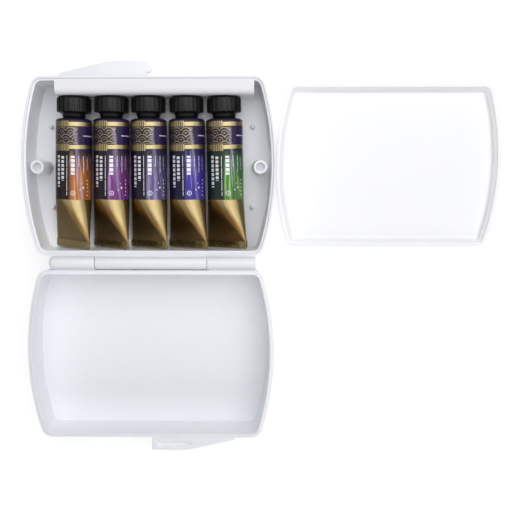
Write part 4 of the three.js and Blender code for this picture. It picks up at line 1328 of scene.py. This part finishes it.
def seen(tree):
    """1 for rays from the camera, in a gloss or through glass, and 0 for the rest."""
    rays = node(tree, "ShaderNodeLightPath").outputs
    return any_of(tree, rays["Is Camera Ray"], rays["Is Glossy Ray"], rays["Is Transmission Ray"])


floor_mesh = bpy.data.meshes.new("table")
corners = [(TABLE_HALF * x, TABLE_HALF * y, 0) for x, y in ((-1, -1), (1, -1), (1, 1), (-1, 1))]
floor_mesh.from_pydata(corners, [], [(0, 1, 2, 3)])
table = in_scene("table", floor_mesh)
table.location.z = -TABLE_DROP
# Matt paper: no shine to speak of
PAPER_LOOK = dict(Roughness=0.9, Specular_IOR_Level=0.1, Emission_Color=linear("#ffffff"))
table_white, table_tree, table_shader = material("paper_backdrop_white", **PAPER_LOOK)
in_view = seen(table_tree)
paper = node(table_tree, MIX, in_view, linear(TABLE_UNSEEN), linear(TABLE_SEEN), data_type="RGBA")
spot = node(table_tree, "ShaderNodeTexCoord").outputs["Object"]
reach = node(table_tree, VECTOR, spot, operation="LENGTH")
glow = node(table_tree, RANGE, reach, *GLOW_RAMP)
give(table_tree, table_shader.inputs["Base Color"], paper)
give(table_tree, table_shader.inputs["Emission Strength"], all_of(table_tree, in_view, glow))
floor_mesh.materials.append(table_white)
print("table side, m:", 2 * TABLE_HALF)

# %% [markdown]
# ## Lamps and room
#
# The light comes from behind the base, soft and wide, as from a window, with three weak lamps that fill the
# shadows. Area lamps give such soft edges, where a point lamp would draw hard ones. They are kept low
# enough that white plastic stays below pure white. The room is white to the rays that see it and dim to the
# rest, so the white background adds hardly any light to the box.

# %% Lamps and room
LIT_PLACE = (0.03, -0.03, 0)
# Name, place and size in metres, power in watts and colour
LAMPS = [
    ("key_behind", (0.19, 0.23, 0.77), (1.2, 1.0), 4.8, "#fbfcff"),
    ("near_fill", (0.08, 0.20, 0.45), (0.5, 0.4), 0.6, "#ffffff"),
    ("right_fill", (0.75, 0.05, 0.50), (0.8, 0.9), 0.7, "#ffffff"),
    ("front_fill", (0.05, -0.80, 0.5), (0.8, 0.4), 1.9, "#ffffff"),
]
ROOM_DIM, ROOM_WHITE = 0.15, 1.0


def area_lamp(name, place, size, power, colour):
    """A rectangular lamp that points at the box."""
    data = bpy.data.lights.new(name, "AREA")
    data.shape = "RECTANGLE"
    data.size, data.size_y = size
    data.energy = power
    data.color = linear(colour)[:3]
    made = in_scene(name, data)
    made.location = place
    direction = Vector(LIT_PLACE) - Vector(place)
    made.rotation_euler = direction.to_track_quat("-Z", "Y").to_euler()
    return made


lamps = [area_lamp(*lamp) for lamp in LAMPS]

world = bpy.data.worlds.new("room")
bpy.context.scene.world = world
world.use_nodes = True
room = world.node_tree
room.nodes.clear()
strength = node(room, MATHS, seen(room), ROOM_WHITE - ROOM_DIM, ROOM_DIM, operation="MULTIPLY_ADD")
ambient = node(room, "ShaderNodeBackground", Color=linear("#ffffff"), Strength=strength)
node(room, "ShaderNodeOutputWorld", Surface=ambient)
print("lamps:", [lamp.name for lamp in lamps])

# %% [markdown]
# ## Camera
#
# The camera was fitted to edge points of the photograph. It looks down from 40 cm, tilted about nine
# degrees, and the picture's middle is shifted a little from the lens axis. The photograph is 512 pixels
# wide, so the lens and the shift are written in its pixels.

# %% Camera in its place
PHOTO_SIDE = 512
FOCAL_PIXELS = 800
AXIS_PIXEL = (216.5, 304.8)
SENSOR = 36
CAMERA_PLACE = Vector((37.35, -5.81, 401.03))
TILT, ROLL, PAN = 8.902, -0.815, -0.159

scene = bpy.context.scene
scene.view_settings.view_transform = "Standard"
camera_data = bpy.data.cameras.new("camera")
camera_data.sensor_width = SENSOR
camera_data.lens = SENSOR * FOCAL_PIXELS / PHOTO_SIDE
camera_data.shift_x = (PHOTO_SIDE / 2 - AXIS_PIXEL[0]) / PHOTO_SIDE
camera_data.shift_y = (AXIS_PIXEL[1] - PHOTO_SIDE / 2) / PHOTO_SIDE
camera_data.clip_start = 0.01
camera = in_scene("camera", camera_data)
scene.camera = camera
turn = Matrix()
for angle, axis in ((TILT, "X"), (ROLL, "Y"), (PAN, "Z")):
    turn = turn @ Matrix.Rotation(-math.radians(angle), 4, axis)
camera.matrix_world = Matrix.Translation(CAMERA_PLACE * MM) @ turn
print("camera at, mm:", [round(v / MM, 1) for v in camera.location])
